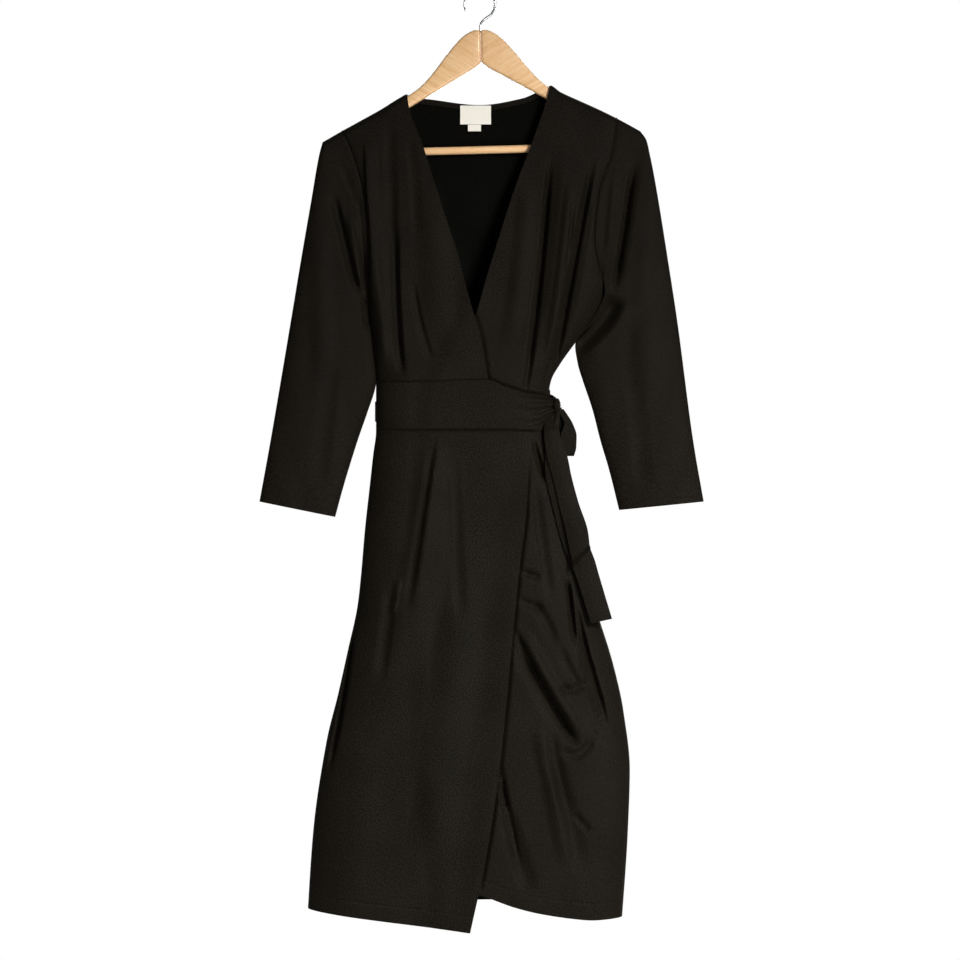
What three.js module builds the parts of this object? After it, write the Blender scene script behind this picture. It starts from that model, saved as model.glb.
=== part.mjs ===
// Wrap dress in matte black jersey, hanging on a plain wooden hanger.
// Millimetres, +Z up. The front faces -Y, and +X is on the right as the front is seen.
// The origin is the point under the top of the hook that rests on a rail.
import * as THREE from "three";

// Driving dimensions
const CLOTH = 1.5; // wall of each cloth piece
const TIE_WALL = 2; // a tie is two layers, turned and pressed
const TRIM_WALL = 1; // label, size tab and neck binding
const SEAM_GAP = 0.3; // between pieces that are sewn together
const OVERLAP_STEP = 3; // the upper front rides this far outside the lower front
const WAISTBAND_BOTTOM = -573;
const WAISTBAND_TOP = -511;
const [WAIST_LEFT, WAIST_RIGHT] = [-134.5, 92];
const LOWER_WAIST_SEAM = -538; // hidden under the upper waistband

// Left and right edges of the body as it hangs: armhole first, then the side seam.
// depth is how far the armhole's edge stands in front of and behind the middle plane.
const LEFT_EDGE = [
  { z: -182.6, x: -177.5, depth: 10.5 },
  { z: -208, x: -166, depth: 12 },
  { z: -266, x: -150, depth: 15 },
  { z: -325, x: -145, depth: 16 },
  { z: -372, x: -144, depth: 13 },
  { z: -397, x: -144, depth: 7 },
  { z: -410, x: -144, depth: 0 },
  { z: -471, x: -138.5, depth: 0 },
  { z: -511, x: -134.5, depth: 0 },
  { z: -573, x: -134.5, depth: 0 },
  { z: -604, x: -138.2, depth: 0 },
  { z: -643, x: -142.5, depth: 0 },
  { z: -702, x: -149, depth: 0 },
  { z: -760, x: -154, depth: 0 },
  { z: -800, x: -158.5, depth: 0 },
  { z: -858, x: -171, depth: 0 },
  { z: -916, x: -184, depth: 0 },
  { z: -975, x: -198.5, depth: 0 },
  { z: -1092, x: -216, depth: 0 },
  { z: -1225, x: -225, depth: 0 },
];
const RIGHT_EDGE = [
  { z: -166.4, x: 177.5, depth: 10.5 },
  { z: -208, x: 172, depth: 12 },
  { z: -266, x: 154, depth: 15 },
  { z: -325, x: 149, depth: 16 },
  { z: -360, x: 155, depth: 13 },
  { z: -382, x: 162.6, depth: 7 },
  { z: -393, x: 163.5, depth: 0 },
  { z: -410, x: 157.5, depth: 0 },
  { z: -440, x: 138.5, depth: 0 },
  { z: -463, x: 121.5, depth: 0 },
  { z: -487, x: 104.5, depth: 0 },
  { z: -507, x: 93.5, depth: 0 },
  { z: -520, x: 91, depth: 0 },
  { z: -573, x: 92, depth: 0 },
  { z: -611, x: 103, depth: 0 },
  { z: -663, x: 118, depth: 0 },
  { z: -728, x: 132, depth: 0 },
  { z: -786, x: 146, depth: 0 },
  { z: -877, x: 174, depth: 0 },
  { z: -936, x: 187, depth: 0 },
  { z: -1014, x: 195.5, depth: 0 },
  { z: -1092, x: 193, depth: 0 },
  { z: -1225, x: 184, depth: 0 },
];
// How far the front and the back stand from the middle plane, down the body.
const BODY_DEPTH = [
  { z: -125, front: 10.5, back: 10.5, side: 30 },
  { z: -210, front: 14, back: 11, side: 36 },
  { z: -300, front: 23, back: 14, side: 45 },
  { z: -400, front: 29, back: 16, side: 48 },
  { z: -511, front: 30, back: 18, side: 48 },
  { z: -573, front: 30, back: 18, side: 48 },
  { z: -740, front: 37, back: 26, side: 62 },
  { z: -950, front: 40, back: 30, side: 70 },
  { z: -1225, front: 43, back: 32, side: 76 },
];
const SHOULDER_ROUND = 10; // the cloth turns over the hanger's edge within this height
// The shoulder seams, from the sleeve tip to the neck, and the back neck between them.
const SHOULDER_LINE = [
  { x: -204, z: -198 },
  { x: -181, z: -184.6 },
  { x: -155, z: -170.3 },
  { x: -129, z: -155.8 },
  { x: -103, z: -139.8 },
  { x: -94, z: -135.5 },
  { x: -78, z: -139.5 },
  { x: -62, z: -141.5 },
  { x: 0, z: -148.5 },
  { x: 55, z: -140 },
  { x: 76, z: -131.5 },
  { x: 92, z: -124 },
  { x: 105, z: -132.4 },
  { x: 131, z: -144.4 },
  { x: 157, z: -156.2 },
  { x: 183, z: -169.2 },
  { x: 209, z: -183.5 },
];
const NECK_LEFT = -94;
const NECK_RIGHT = 92;
// The free edges of the two fronts, which make the V and then the wrap.
const UPPER_NECKLINE = [
  { z: -135.5, x: -94 },
  { z: -153, x: -91.5 },
  { z: -200, x: -74.3 },
  { z: -256, x: -56.8 },
  { z: -313, x: -38.5 },
  { z: -345, x: -28 },
  { z: -385, x: -18 },
  { z: -420, x: -8 },
  { z: -452, x: 1.5 },
  { z: -508, x: 11 },
];
const LOWER_NECKLINE = [
  { z: -124, x: 92 },
  { z: -146, x: 86.5 },
  { z: -200, x: 68 },
  { z: -259, x: 45.8 },
  { z: -323, x: 25.3 },
  { z: -372, x: 10 },
  { z: -421, x: -4 },
  { z: -470, x: -26 },
  { z: -535, x: -52 },
  { z: -573, x: -55 },
];
const UPPER_SKIRT_EDGE = [
  { z: -573, x: 66 },
  { z: -690, x: 59 },
  { z: -741, x: 52.5 },
  { z: -845, x: 42 },
  { z: -1001, x: 26.5 },
  { z: -1131, x: 7 },
  { z: -1220, x: -12 },
];
const LOWER_SKIRT_EDGE = [
  { z: -573, x: -55 },
  { z: -800, x: -62 },
  { z: -1000, x: -58 },
  { z: -1165, x: -34 },
];
// The wrapped end of the upper waistband, from the crossing of the fronts to the knot.
const WRAP_END = [
  { x: -134.5, top: -511, bottom: -573, depth: 33 },
  { x: -60, top: -510, bottom: -573, depth: 33 },
  { x: 11, top: -508, bottom: -573, depth: 33 },
  { x: 32, top: -516, bottom: -573, depth: 33 },
  { x: 60, top: -524.5, bottom: -572.5, depth: 32 },
  { x: 74, top: -526.8, bottom: -570, depth: 28.5 },
  { x: 85, top: -528.6, bottom: -562.5, depth: 23.5 },
  { x: 93, top: -530.5, bottom: -555, depth: 19 },
  { x: 99.2, top: -532, bottom: -550, depth: 16.5 },
];
// Folds: a soft trough (depth above 0) or ridge (below 0) along a bent line of [x, z].
const UPPER_BODICE_FOLDS = [
  { from: [-112, -262], via: [-112, -390], to: [-96, -500], width: 19, depth: 7 },
  { from: [-140, -330], via: [-126, -400], to: [-124, -500], width: 12, depth: -4 },
  { from: [-88, -385], via: [-78, -430], to: [-60, -478], width: 13, depth: 3 },
  { from: [-60, -240], via: [-62, -330], to: [-48, -470], width: 26, depth: -3 },
];
const LOWER_BODICE_FOLDS = [
  { from: [90, -250], via: [86, -380], to: [53, -520], width: 16, depth: 9 },
  { from: [112, -225], via: [110, -370], to: [86, -505], width: 14, depth: 8 },
  { from: [140, -235], via: [122, -350], to: [97, -480], width: 13, depth: 8 },
  { from: [62, -240], via: [58, -360], to: [36, -470], width: 16, depth: -5 },
];
const UPPER_SKIRT_FOLDS = [
  { from: [-50, -590], via: [-58, -720], to: [-112, -900], width: 38, depth: -7 },
  { from: [-104, -740], via: [-108, -800], to: [-122, -900], width: 20, depth: 4 },
  { from: [-150, -850], via: [-176, -900], to: [-184, -1020], width: 15, depth: 7 },
  { from: [-20, -760], via: [-34, -960], to: [-70, -1150], width: 34, depth: -5 },
];
const LOWER_SKIRT_FOLDS = [
  { from: [50, -720], via: [66, -735], to: [84, -742], width: 13, depth: 7 },
  { from: [46, -800], via: [74, -900], to: [146, -1005], width: 22, depth: 12 },
  { from: [56, -778], via: [100, -840], to: [132, -912], width: 18, depth: 9 },
  { from: [120, -800], via: [142, -880], to: [158, -1010], width: 15, depth: -7 },
  { from: [84, -975], via: [108, -1040], to: [116, -1150], width: 18, depth: 6 },
  { from: [34, -1050], via: [48, -1110], to: [66, -1175], width: 16, depth: 6 },
];
const BODICE_BACK_FOLDS = [
  { from: [-100, -270], via: [-106, -390], to: [-92, -505], width: 24, depth: 6 },
  { from: [96, -260], via: [98, -380], to: [72, -505], width: 24, depth: 6 },
  { from: [-10, -300], via: [-16, -400], to: [-26, -505], width: 36, depth: -4 },
];
const SKIRT_BACK_FOLDS = [
  { from: [-70, -590], via: [-92, -800], to: [-120, -1130], width: 34, depth: 8 },
  { from: [10, -600], via: [20, -850], to: [4, -1150], width: 40, depth: -7 },
  { from: [50, -620], via: [86, -860], to: [110, -1140], width: 30, depth: 8 },
];
const LEFT_SLEEVE_FOLDS = [
  { from: [-188, -250], via: [-172, -330], to: [-152, -400], width: 14, depth: 6 },
  { from: [-212, -300], via: [-200, -400], to: [-204, -520], width: 20, depth: -3 },
  { from: [-176, -240], via: [-162, -300], to: [-152, -370], width: 11, depth: -4 },
];
const RIGHT_SLEEVE_FOLDS = [
  { from: [196, -235], via: [190, -300], to: [182, -385], width: 14, depth: 6 },
  { from: [178, -395], via: [164, -425], to: [146, -462], width: 17, depth: 10 },
  { from: [222, -300], via: [208, -400], to: [214, -520], width: 20, depth: -3 },
];
// The outer and under edges of each sleeve, from the shoulder tip and the underarm.
const LEFT_SLEEVE_OUTER = [
  { z: -198, x: -204 },
  { z: -214, x: -208.3 },
  { z: -273, x: -218.5 },
  { z: -351, x: -232 },
  { z: -429, x: -245 },
  { z: -585, x: -271.5 },
  { z: -665, x: -286 },
];
const LEFT_SLEEVE_UNDER = [
  { z: -410, x: -144 },
  { z: -430, x: -145 },
  { z: -471, x: -141 },
  { z: -507, x: -137.3 },
  { z: -527, x: -137.2 },
  { z: -546, x: -144.5 },
  { z: -585, x: -158 },
  { z: -643, x: -176 },
  { z: -685, x: -187.5 },
];
const RIGHT_SLEEVE_OUTER = [
  { z: -183.5, x: 209 },
  { z: -195, x: 217 },
  { z: -214, x: 221.5 },
  { z: -234, x: 225.6 },
  { z: -273, x: 232.5 },
  { z: -351, x: 245 },
  { z: -429, x: 257 },
  { z: -585, x: 277.7 },
  { z: -665, x: 291.5 },
];
const RIGHT_SLEEVE_UNDER = [
  { z: -393, x: 165.5 },
  { z: -412, x: 164.5 },
  { z: -440, x: 143 },
  { z: -463, x: 124.5 },
  { z: -487, x: 128 },
  { z: -507, x: 134 },
  { z: -546, x: 147 },
  { z: -585, x: 157 },
  { z: -624, x: 168.5 },
  { z: -676, x: 181.5 },
];
const SLEEVE_DEPTH = [
  { t: 0, depth: 15, square: 4 },
  { t: 0.25, depth: 17, square: 3.4 },
  { t: 0.6, depth: 17, square: 2.6 },
  { t: 1, depth: 15, square: 2.4 },
];
// The hanging ends of the tie: left and right edges, and the distance in front.
const SHORT_TAIL = [
  { z: -546.5, left: 100.5, right: 107, front: 22.5 },
  { z: -556, left: 95, right: 104.5, front: 23.8 },
  { z: -564, left: 88, right: 103, front: 26 },
  { z: -572, left: 84.5, right: 104.5, front: 28 },
  { z: -606, left: 88, right: 113.5, front: 31.5 },
  { z: -631, left: 94, right: 118.5, front: 33.5 },
  { z: -665, left: 102.5, right: 127.5, front: 35.5 },
  { z: -704, left: 114, right: 141.5, front: 36.5 },
  { z: -726, left: 121, right: 143, front: 36.5 },
];
const LONG_TAIL = [
  { z: -549.9, left: 102, right: 110, front: 17.5 },
  { z: -575, left: 92, right: 107, front: 23.5 },
  { z: -606, left: 84.5, right: 109, front: 27.5 },
  { z: -631, left: 85.5, right: 111, front: 29.5 },
  { z: -665, left: 93, right: 119, front: 31.5 },
  { z: -723, left: 108, right: 134, front: 32.5 },
  { z: -757, left: 124, right: 152.5, front: 32 },
  { z: -816, left: 143.5, right: 171, front: 33 },
];
const SHORT_TAIL_SLANT = 25; // its left corner hangs this much lower than its right one
const LONG_TAIL_SLANT = 6;
// The bow's loop: left and right edges. It stands LOOP_MIDDLE in front of the middle plane,
// half as deep as given at the top and at the round below.
const LOOP_EDGES = [
  { z: -549.9, left: 106.5, right: 112.5 },
  { z: -562, left: 108, right: 120.5 },
  { z: -580, left: 110, right: 126.3 },
  { z: -595, left: 113.5, right: 125.5 },
  { z: -606, left: 117, right: 122.5 },
];
const LOOP_MIDDLE = 9;
const LOOP_TOP_HALF = 3.5;
const LOOP_HALF = 5;
const LOOP_WALL = 1.2;
const KNOT = { x: 105.5, y: -14, z: -539.5, wide: 6, deep: 8.5, high: 10 };
// Plan of the tie that comes out of the left side seam and round the back to the knot.
const SASH = [
  { t: 0, x: -136, y: 5.6, z: -548, high: 26 },
  { t: 0.03, x: -132.4, y: 10.6, z: -548, high: 27 },
  { t: 0.06, x: -127.4, y: 13.7, z: -548, high: 27 },
  { t: 0.13, x: -108.6, y: 19.6, z: -547, high: 27 },
  { t: 0.25, x: -84, y: 21.4, z: -546, high: 27 },
  { t: 0.7, x: 40, y: 21.4, z: -543, high: 27 },
  { t: 0.8, x: 64.7, y: 19.6, z: -542, high: 26 },
  { t: 0.875, x: 83.8, y: 13.7, z: -541, high: 24 },
  { t: 0.905, x: 89.8, y: 10.8, z: -540, high: 22 },
  { t: 0.945, x: 95, y: 1, z: -539, high: 19 },
  { t: 0.975, x: 96.8, y: -5, z: -538, high: 16 },
  { t: 1, x: 99.3, y: -10.8, z: -538, high: 13 },
];
// Hems: the slanting upper front, the lower front that rises to its hidden edge, the back.
const UPPER_HEM = [
  { x: -224, z: -1193 },
  { x: -100, z: -1209 },
  { x: -12, z: -1220 },
];
const LOWER_HEM = [
  { x: -34, z: -1165 },
  { x: 0, z: -1172 },
  { x: 46, z: -1188 },
  { x: 79, z: -1196 },
  { x: 118, z: -1202 },
  { x: 150, z: -1205 },
  { x: 186, z: -1203.5 },
];
const BACK_HEM = [
  { x: -224, z: -1193 },
  { x: 26, z: -1186 },
  { x: 186, z: -1203.5 },
];
const EDGE_LIFT = 4; // the free edge of the skirt stands this much further forward
const LABEL = { left: -25, right: 15, top: -149.5, bottom: -174 };
const TAB = { left: -15, right: 2, top: -174.4, bottom: -183 };
const BINDING_HIGH = 6.5;

// Hanger, drawn level and then tilted as it hangs
const TILT = THREE.MathUtils.degToRad(1.5);
const ARM_THICK = 12;
const ARM_ROUND = 3.5;
const ARM_REACH = 196;
const BAR_RADIUS = 5;
const BAR_HEIGHT = -208;
const BOSS_INNER = 174;
const WIRE_RADIUS = 1.7;
const HOOK_RADIUS = 20;
const APEX = -52;

const colours = {
  cloth: { color: 0x1e1c19, roughness: 0.82, metalness: 0 },
  wood: { color: 0xe0b884, roughness: 0.45, metalness: 0 },
  steel: { color: 0xc4c6c8, roughness: 0.25, metalness: 1 },
  label: { color: 0xe8e3d9, roughness: 0.8, metalness: 0 },
};

const dress = new THREE.Group();
const clamp01 = (v) => Math.min(1, Math.max(0, v));
const lerp = (a, b, t) => a + (b - a) * t;
const ease = (v) => clamp01(v) ** 2 * (3 - 2 * clamp01(v));
const quarterRound = (s) => Math.sqrt(1 - (1 - clamp01(s)) ** 2);

function add(name, geometry, colour, parent = dress) {
  const mesh = new THREE.Mesh(geometry, new THREE.MeshStandardMaterial(colour));
  mesh.name = name;
  parent.add(mesh);
}

// Reads a column of a table by another column, on a smooth curve that never overshoots.
function read(rows, column, at, by = "z") {
  const last = rows.length - 1;
  const way = Math.sign(rows[last][by] - rows[0][by]);
  let i = 0;
  while (i < last - 1 && way * (at - rows[i + 1][by]) > 0) i += 1;
  const slope = (k) => (rows[k + 1][column] - rows[k][column]) / (rows[k + 1][by] - rows[k][by]);
  const tangent = (k) => {
    if (k === 0 || k === last) return slope(i);
    const [before, after] = [slope(k - 1), slope(k)];
    return before * after <= 0 ? 0 : (2 * before * after) / (before + after);
  };
  const span = rows[i + 1][by] - rows[i][by];
  const t = clamp01((at - rows[i][by]) / span);
  return (
    (2 * t ** 3 - 3 * t ** 2 + 1) * rows[i][column] +
    (t ** 3 - 2 * t ** 2 + t) * span * tangent(i) +
    (3 * t ** 2 - 2 * t ** 3) * rows[i + 1][column] +
    (t ** 3 - t ** 2) * span * tangent(i + 1)
  );
}

// Depth that a list of folds adds at a point of the front view.
function foldDepth(folds, x, z) {
  const STEPS = 10;
  let total = 0;
  for (const { from, via, to, width, depth } of folds) {
    const at = (t) => [0, 1].map((k) =>
      (1 - t) ** 2 * from[k] + 2 * t * (1 - t) * via[k] + t ** 2 * to[k]);
    let nearest = Infinity;
    let along = 0;
    for (let i = 0; i < STEPS; i += 1) {
      const [ax, az] = at(i / STEPS);
      const [bx, bz] = at((i + 1) / STEPS);
      const length2 = (bx - ax) ** 2 + (bz - az) ** 2;
      const s = clamp01(((x - ax) * (bx - ax) + (z - az) * (bz - az)) / length2);
      const distance = Math.hypot(x - lerp(ax, bx, s), z - lerp(az, bz, s));
      if (distance < nearest) [nearest, along] = [distance, (i + s) / STEPS];
    }
    const across = 1 - Math.min(1, nearest / width) ** 2;
    total += depth * across ** 2 * ease(along / 0.25) * ease((1 - along) / 0.25);
  }
  return total;
}

// Steps from 0 to 1 with fine ones over a rounded edge at one end or both.
function steps(count, { start = 0, end = 0, fine = 4 } = {}) {
  const curve = (i) => 1 - Math.cos((i / fine) * Math.PI / 2);
  const list = [];
  if (start > 0) for (let i = 0; i < fine; i += 1) list.push(start * curve(i));
  for (let i = 0; i <= count; i += 1) list.push(lerp(start, 1 - end, i / count));
  if (end > 0) for (let i = fine - 1; i >= 0; i -= 1) list.push(1 - end * curve(i));
  return list;
}

// A closed wall: the outer face point(u, v), and an inner face set in along its normals.
// outward is 1 where (across) x (down) points out of the cloth, and -1 where it points in.
// keep moves a point back to its own side of a seam.
function clothWall(point, across, down, options = {}) {
  const { outward = 1, thick = CLOTH, tube = false, keep = () => {} } = options;
  const small = 0.002;
  const wrap = (u) => (tube ? (u + 1) % 1 : clamp01(u));
  const normal = (u, v) => {
    const du = point(wrap(u + small), v).sub(point(wrap(u - small), v));
    const dv = point(u, clamp01(v + small)).sub(point(u, clamp01(v - small)));
    return du.cross(dv).multiplyScalar(outward).normalize();
  };
  const columns = tube ? across.slice(0, -1) : across;
  const [wide, tall] = [columns.length, down.length];
  const outer = [];
  const inner = [];
  for (const v of down) {
    for (const u of columns) {
      const p = point(u, v);
      keep(p);
      outer.push(p);
      const q = p.clone().addScaledVector(normal(u, v), -thick);
      keep(q);
      inner.push(q);
    }
  }
  const positions = [...outer, ...inner].flatMap((p) => [p.x, p.y, p.z]);
  const inside = outer.length;
  const id = (i, j) => j * wide + (i % wide);
  const faces = [];
  const quad = (a, b, c, d) => faces.push(...(outward > 0 ? [a, b, c, a, c, d] : [a, c, b, a, d, c]));
  const spans = tube ? wide : wide - 1;
  for (let j = 0; j < tall - 1; j += 1) {
    for (let i = 0; i < spans; i += 1) {
      const [a, b, c, d] = [id(i, j), id(i + 1, j), id(i + 1, j + 1), id(i, j + 1)];
      quad(a, b, c, d);
      quad(inside + d, inside + c, inside + b, inside + a);
    }
  }
  const rim = (a, b) => quad(a, inside + a, inside + b, b);
  for (let i = 0; i < spans; i += 1) {
    rim(id(i, 0), id(i + 1, 0));
    rim(id(i + 1, tall - 1), id(i, tall - 1));
  }
  if (!tube) {
    for (let j = 0; j < tall - 1; j += 1) {
      rim(id(0, j + 1), id(0, j));
      rim(id(wide - 1, j), id(wide - 1, j + 1));
    }
  }
  const geometry = new THREE.BufferGeometry();
  geometry.setAttribute("position", new THREE.Float32BufferAttribute(positions, 3));
  geometry.setIndex(faces);
  return geometry;
}

// A panel between four edges, each a function that gives [x, z].
function patch({ top, bottom, left, right }) {
  return (u, v) => [0, 1].map((k) =>
    (1 - v) * top(u)[k] + v * bottom(u)[k] + (1 - u) * left(v)[k] + u * right(v)[k]
    - (1 - v) * ((1 - u) * top(0)[k] + u * top(1)[k])
    - v * ((1 - u) * bottom(0)[k] + u * bottom(1)[k]));
}

// An edge down a table from one height to another.
const edge = (rows, high, low) => (v) => {
  const z = lerp(high, low, v);
  return [read(rows, "x", z), z];
};

// Shoulder line and back neck above a point.
const shoulder = (x) => read(SHOULDER_LINE, "z", x, "x");

// Distance of the front or back from the middle plane, without folds.
function bodyDepth(x, z, face) {
  const full = read(BODY_DEPTH, face, z);
  const round = read(BODY_DEPTH, "side", z);
  const fromLeft = x - read(LEFT_EDGE, "x", z);
  const fromRight = read(RIGHT_EDGE, "x", z) - x;
  const armhole = read(fromLeft < fromRight ? LEFT_EDGE : RIGHT_EDGE, "depth", z);
  const atEdge = Math.min(armhole, full * 0.7);
  const across = quarterRound(Math.min(fromLeft, fromRight) / round);
  const turned = quarterRound((shoulder(x) - z) / SHOULDER_ROUND);
  const overShoulder = face === "back" ? lerp(turned, 1, backNeck(x)) : turned;
  return SEAM_GAP / 2 + lerp(atEdge, full, across) * overShoulder;
}

// 1 along the back neck, which hangs behind the hanger, and 0 from the neck points out.
const backNeck = (x) => quarterRound(Math.min(x - NECK_LEFT, NECK_RIGHT - x) / 4);

// How far the upper front stands off, where the lower front lies under it.
function overlapStep(x, z) {
  const under = z > WAISTBAND_BOTTOM ? LOWER_NECKLINE : LOWER_SKIRT_EDGE;
  return OVERLAP_STEP * ease((x - read(under, "x", z) + 34) / 30);
}

// 1 where the upper front covers the lower one, falling to 0 past its free edge.
function covered(x, z) {
  const over = z > WAISTBAND_BOTTOM ? UPPER_NECKLINE : UPPER_SKIRT_EDGE;
  return 1 - ease((x - read(over, "x", z)) / 24);
}

const seamFade = (v) => ease(v / 0.06) * ease((1 - v) / 0.06);

function upperFront(x, z, folds, fade) {
  return -bodyDepth(x, z, "front") - overlapStep(x, z) + foldDepth(folds, x, z) * fade;
}

function lowerFront(x, z, folds, hiddenFolds, fade) {
  const cover = covered(x, z);
  const fold = foldDepth(folds, x, z) * (1 - cover) + foldDepth(hiddenFolds, x, z) * cover;
  return -bodyDepth(x, z, "front") + fold * fade;
}

// Fronts and backs meet at the side seams, each on its own side of the middle plane.
const FRONT = { outward: -1, keep: (p) => { p.y = Math.min(p.y, -SEAM_GAP / 2); } };
const BACK = { outward: 1, keep: (p) => { p.y = Math.max(p.y, SEAM_GAP / 2); } };
// Rows from the shoulder to the underarm, which the sleeve's first ring shares: fine where
// the cloth turns over the hanger and under the arm. More rows lead on to the waist.
const ARMHOLE_ROWS = [0, 0.008, 0.03, 0.06, 0.15, 0.26, 0.37, 0.48, 0.59, 0.7, 0.8, 0.89, 0.96, 1];
const WAIST_ROWS = [0.2, 0.4, 0.6, 0.8, 1];
const UNDERARM_AT = 0.7;
const BODICE_ROWS = [
  ...ARMHOLE_ROWS.map((row) => row * UNDERARM_AT),
  ...WAIST_ROWS.map((row) => lerp(UNDERARM_AT, 1, row)),
];
const LEFT_UNDERARM = LEFT_SLEEVE_UNDER[0].z;
const RIGHT_UNDERARM = RIGHT_SLEEVE_UNDER[0].z;

// Armhole and side seam of a bodice panel, with the underarm on a row of its own
const sideEdge = (rows, high, underarm, low) => (v) => {
  const z = v < UNDERARM_AT
    ? lerp(high, underarm, v / UNDERARM_AT)
    : lerp(underarm, low, (v - UNDERARM_AT) / (1 - UNDERARM_AT));
  return [read(rows, "x", z), z];
};

// Fronts of the bodice
function bodiceFronts() {
  const upper = patch({
    top: (u) => {
      const x = lerp(read(LEFT_EDGE, "x", LEFT_EDGE[0].z), NECK_LEFT, u);
      return [x, shoulder(x)];
    },
    bottom: (u) => {
      const x = lerp(WAIST_LEFT, UPPER_NECKLINE.at(-1).x, u);
      return [x, read(WRAP_END, "top", x, "x") + SEAM_GAP];
    },
    left: sideEdge(LEFT_EDGE, shoulder(LEFT_EDGE[0].x), LEFT_UNDERARM, WAISTBAND_TOP + SEAM_GAP),
    right: edge(UPPER_NECKLINE, shoulder(NECK_LEFT), UPPER_NECKLINE.at(-1).z + SEAM_GAP),
  });
  add("bodice_front_upper", clothWall((u, v) => {
    const [x, z] = upper(u, v);
    return new THREE.Vector3(x, upperFront(x, z, UPPER_BODICE_FOLDS, seamFade(v)), z);
  }, steps(13, { start: 0.12, fine: 3 }), BODICE_ROWS, FRONT), colours.cloth);

  const low = LOWER_WAIST_SEAM;
  const lower = patch({
    top: (u) => {
      const x = lerp(NECK_RIGHT, RIGHT_EDGE[0].x, u);
      return [x, shoulder(x)];
    },
    bottom: (u) => [lerp(read(LOWER_NECKLINE, "x", low), read(RIGHT_EDGE, "x", low), u), low],
    left: edge(LOWER_NECKLINE, shoulder(NECK_RIGHT), low),
    right: sideEdge(RIGHT_EDGE, shoulder(RIGHT_EDGE[0].x), RIGHT_UNDERARM, low),
  });
  add("bodice_front_lower", clothWall((u, v) => {
    const [x, z] = lower(u, v);
    const y = lowerFront(x, z, LOWER_BODICE_FOLDS, UPPER_BODICE_FOLDS, seamFade(v));
    return new THREE.Vector3(x, y, z);
  }, steps(15, { end: 0.12, fine: 3 }), BODICE_ROWS, FRONT), colours.cloth);
}

// The back's waist seam runs a little lower towards the tied side.
const backWaist = (u) => lerp(WAISTBAND_TOP, -520, u);

// Back of the bodice, with columns at both neck points and close beside them
function bodiceBack() {
  const [left, right] = [LEFT_EDGE[0].x, RIGHT_EDGE[0].x];
  const waist = (u) => [lerp(WAIST_LEFT, WAIST_RIGHT, u), backWaist(u) + SEAM_GAP];
  const panel = patch({
    top: (u) => [lerp(left, right, u), shoulder(lerp(left, right, u))],
    bottom: waist,
    left: sideEdge(LEFT_EDGE, shoulder(left), LEFT_UNDERARM, waist(0)[1]),
    right: sideEdge(RIGHT_EDGE, shoulder(right), RIGHT_UNDERARM, waist(1)[1]),
  });
  const columns = [left, -172, -160, -138, -116, NECK_LEFT, -91, -74, -50, -25, 0, 25, 50, 72,
    89, NECK_RIGHT, 114, 138, 160, 172, right];
  add("bodice_back", clothWall((u, v) => {
    const [x, z] = panel(u, v);
    const fold = foldDepth(BODICE_BACK_FOLDS, x, z) * seamFade(v);
    return new THREE.Vector3(x, bodyDepth(x, z, "back") - fold, z);
  }, columns.map((x) => (x - left) / (right - left)), BODICE_ROWS, BACK), colours.cloth);
}

// What is sewn flat inside the back: a strip set in front of the back's inner face
function insideBack(name, left, right, top, bottom, layer, columns, colour) {
  const inward = CLOTH + SEAM_GAP + TRIM_WALL + layer * (SEAM_GAP + TRIM_WALL);
  add(name, clothWall((u, v) => {
    const x = lerp(left, right, u);
    const z = lerp(top(x), bottom(x), v);
    return new THREE.Vector3(x, bodyDepth(x, z, "back") - inward, z);
  }, steps(columns), steps(3), { outward: -1, thick: TRIM_WALL }), colour);
}

function neckTrim() {
  const edgeTop = (x) => shoulder(x) - 1;
  insideBack("back_neck_binding", -84, 82, edgeTop, (x) => edgeTop(x) - BINDING_HIGH, 0, 16,
    colours.cloth);
  for (const [name, tag, columns] of [["neck_label", LABEL, 6], ["size_tab", TAB, 3]]) {
    const [top, bottom] = [() => tag.top, () => tag.bottom];
    insideBack(name, tag.left, tag.right, top, bottom, 1, columns, colours.label);
  }
}

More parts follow.
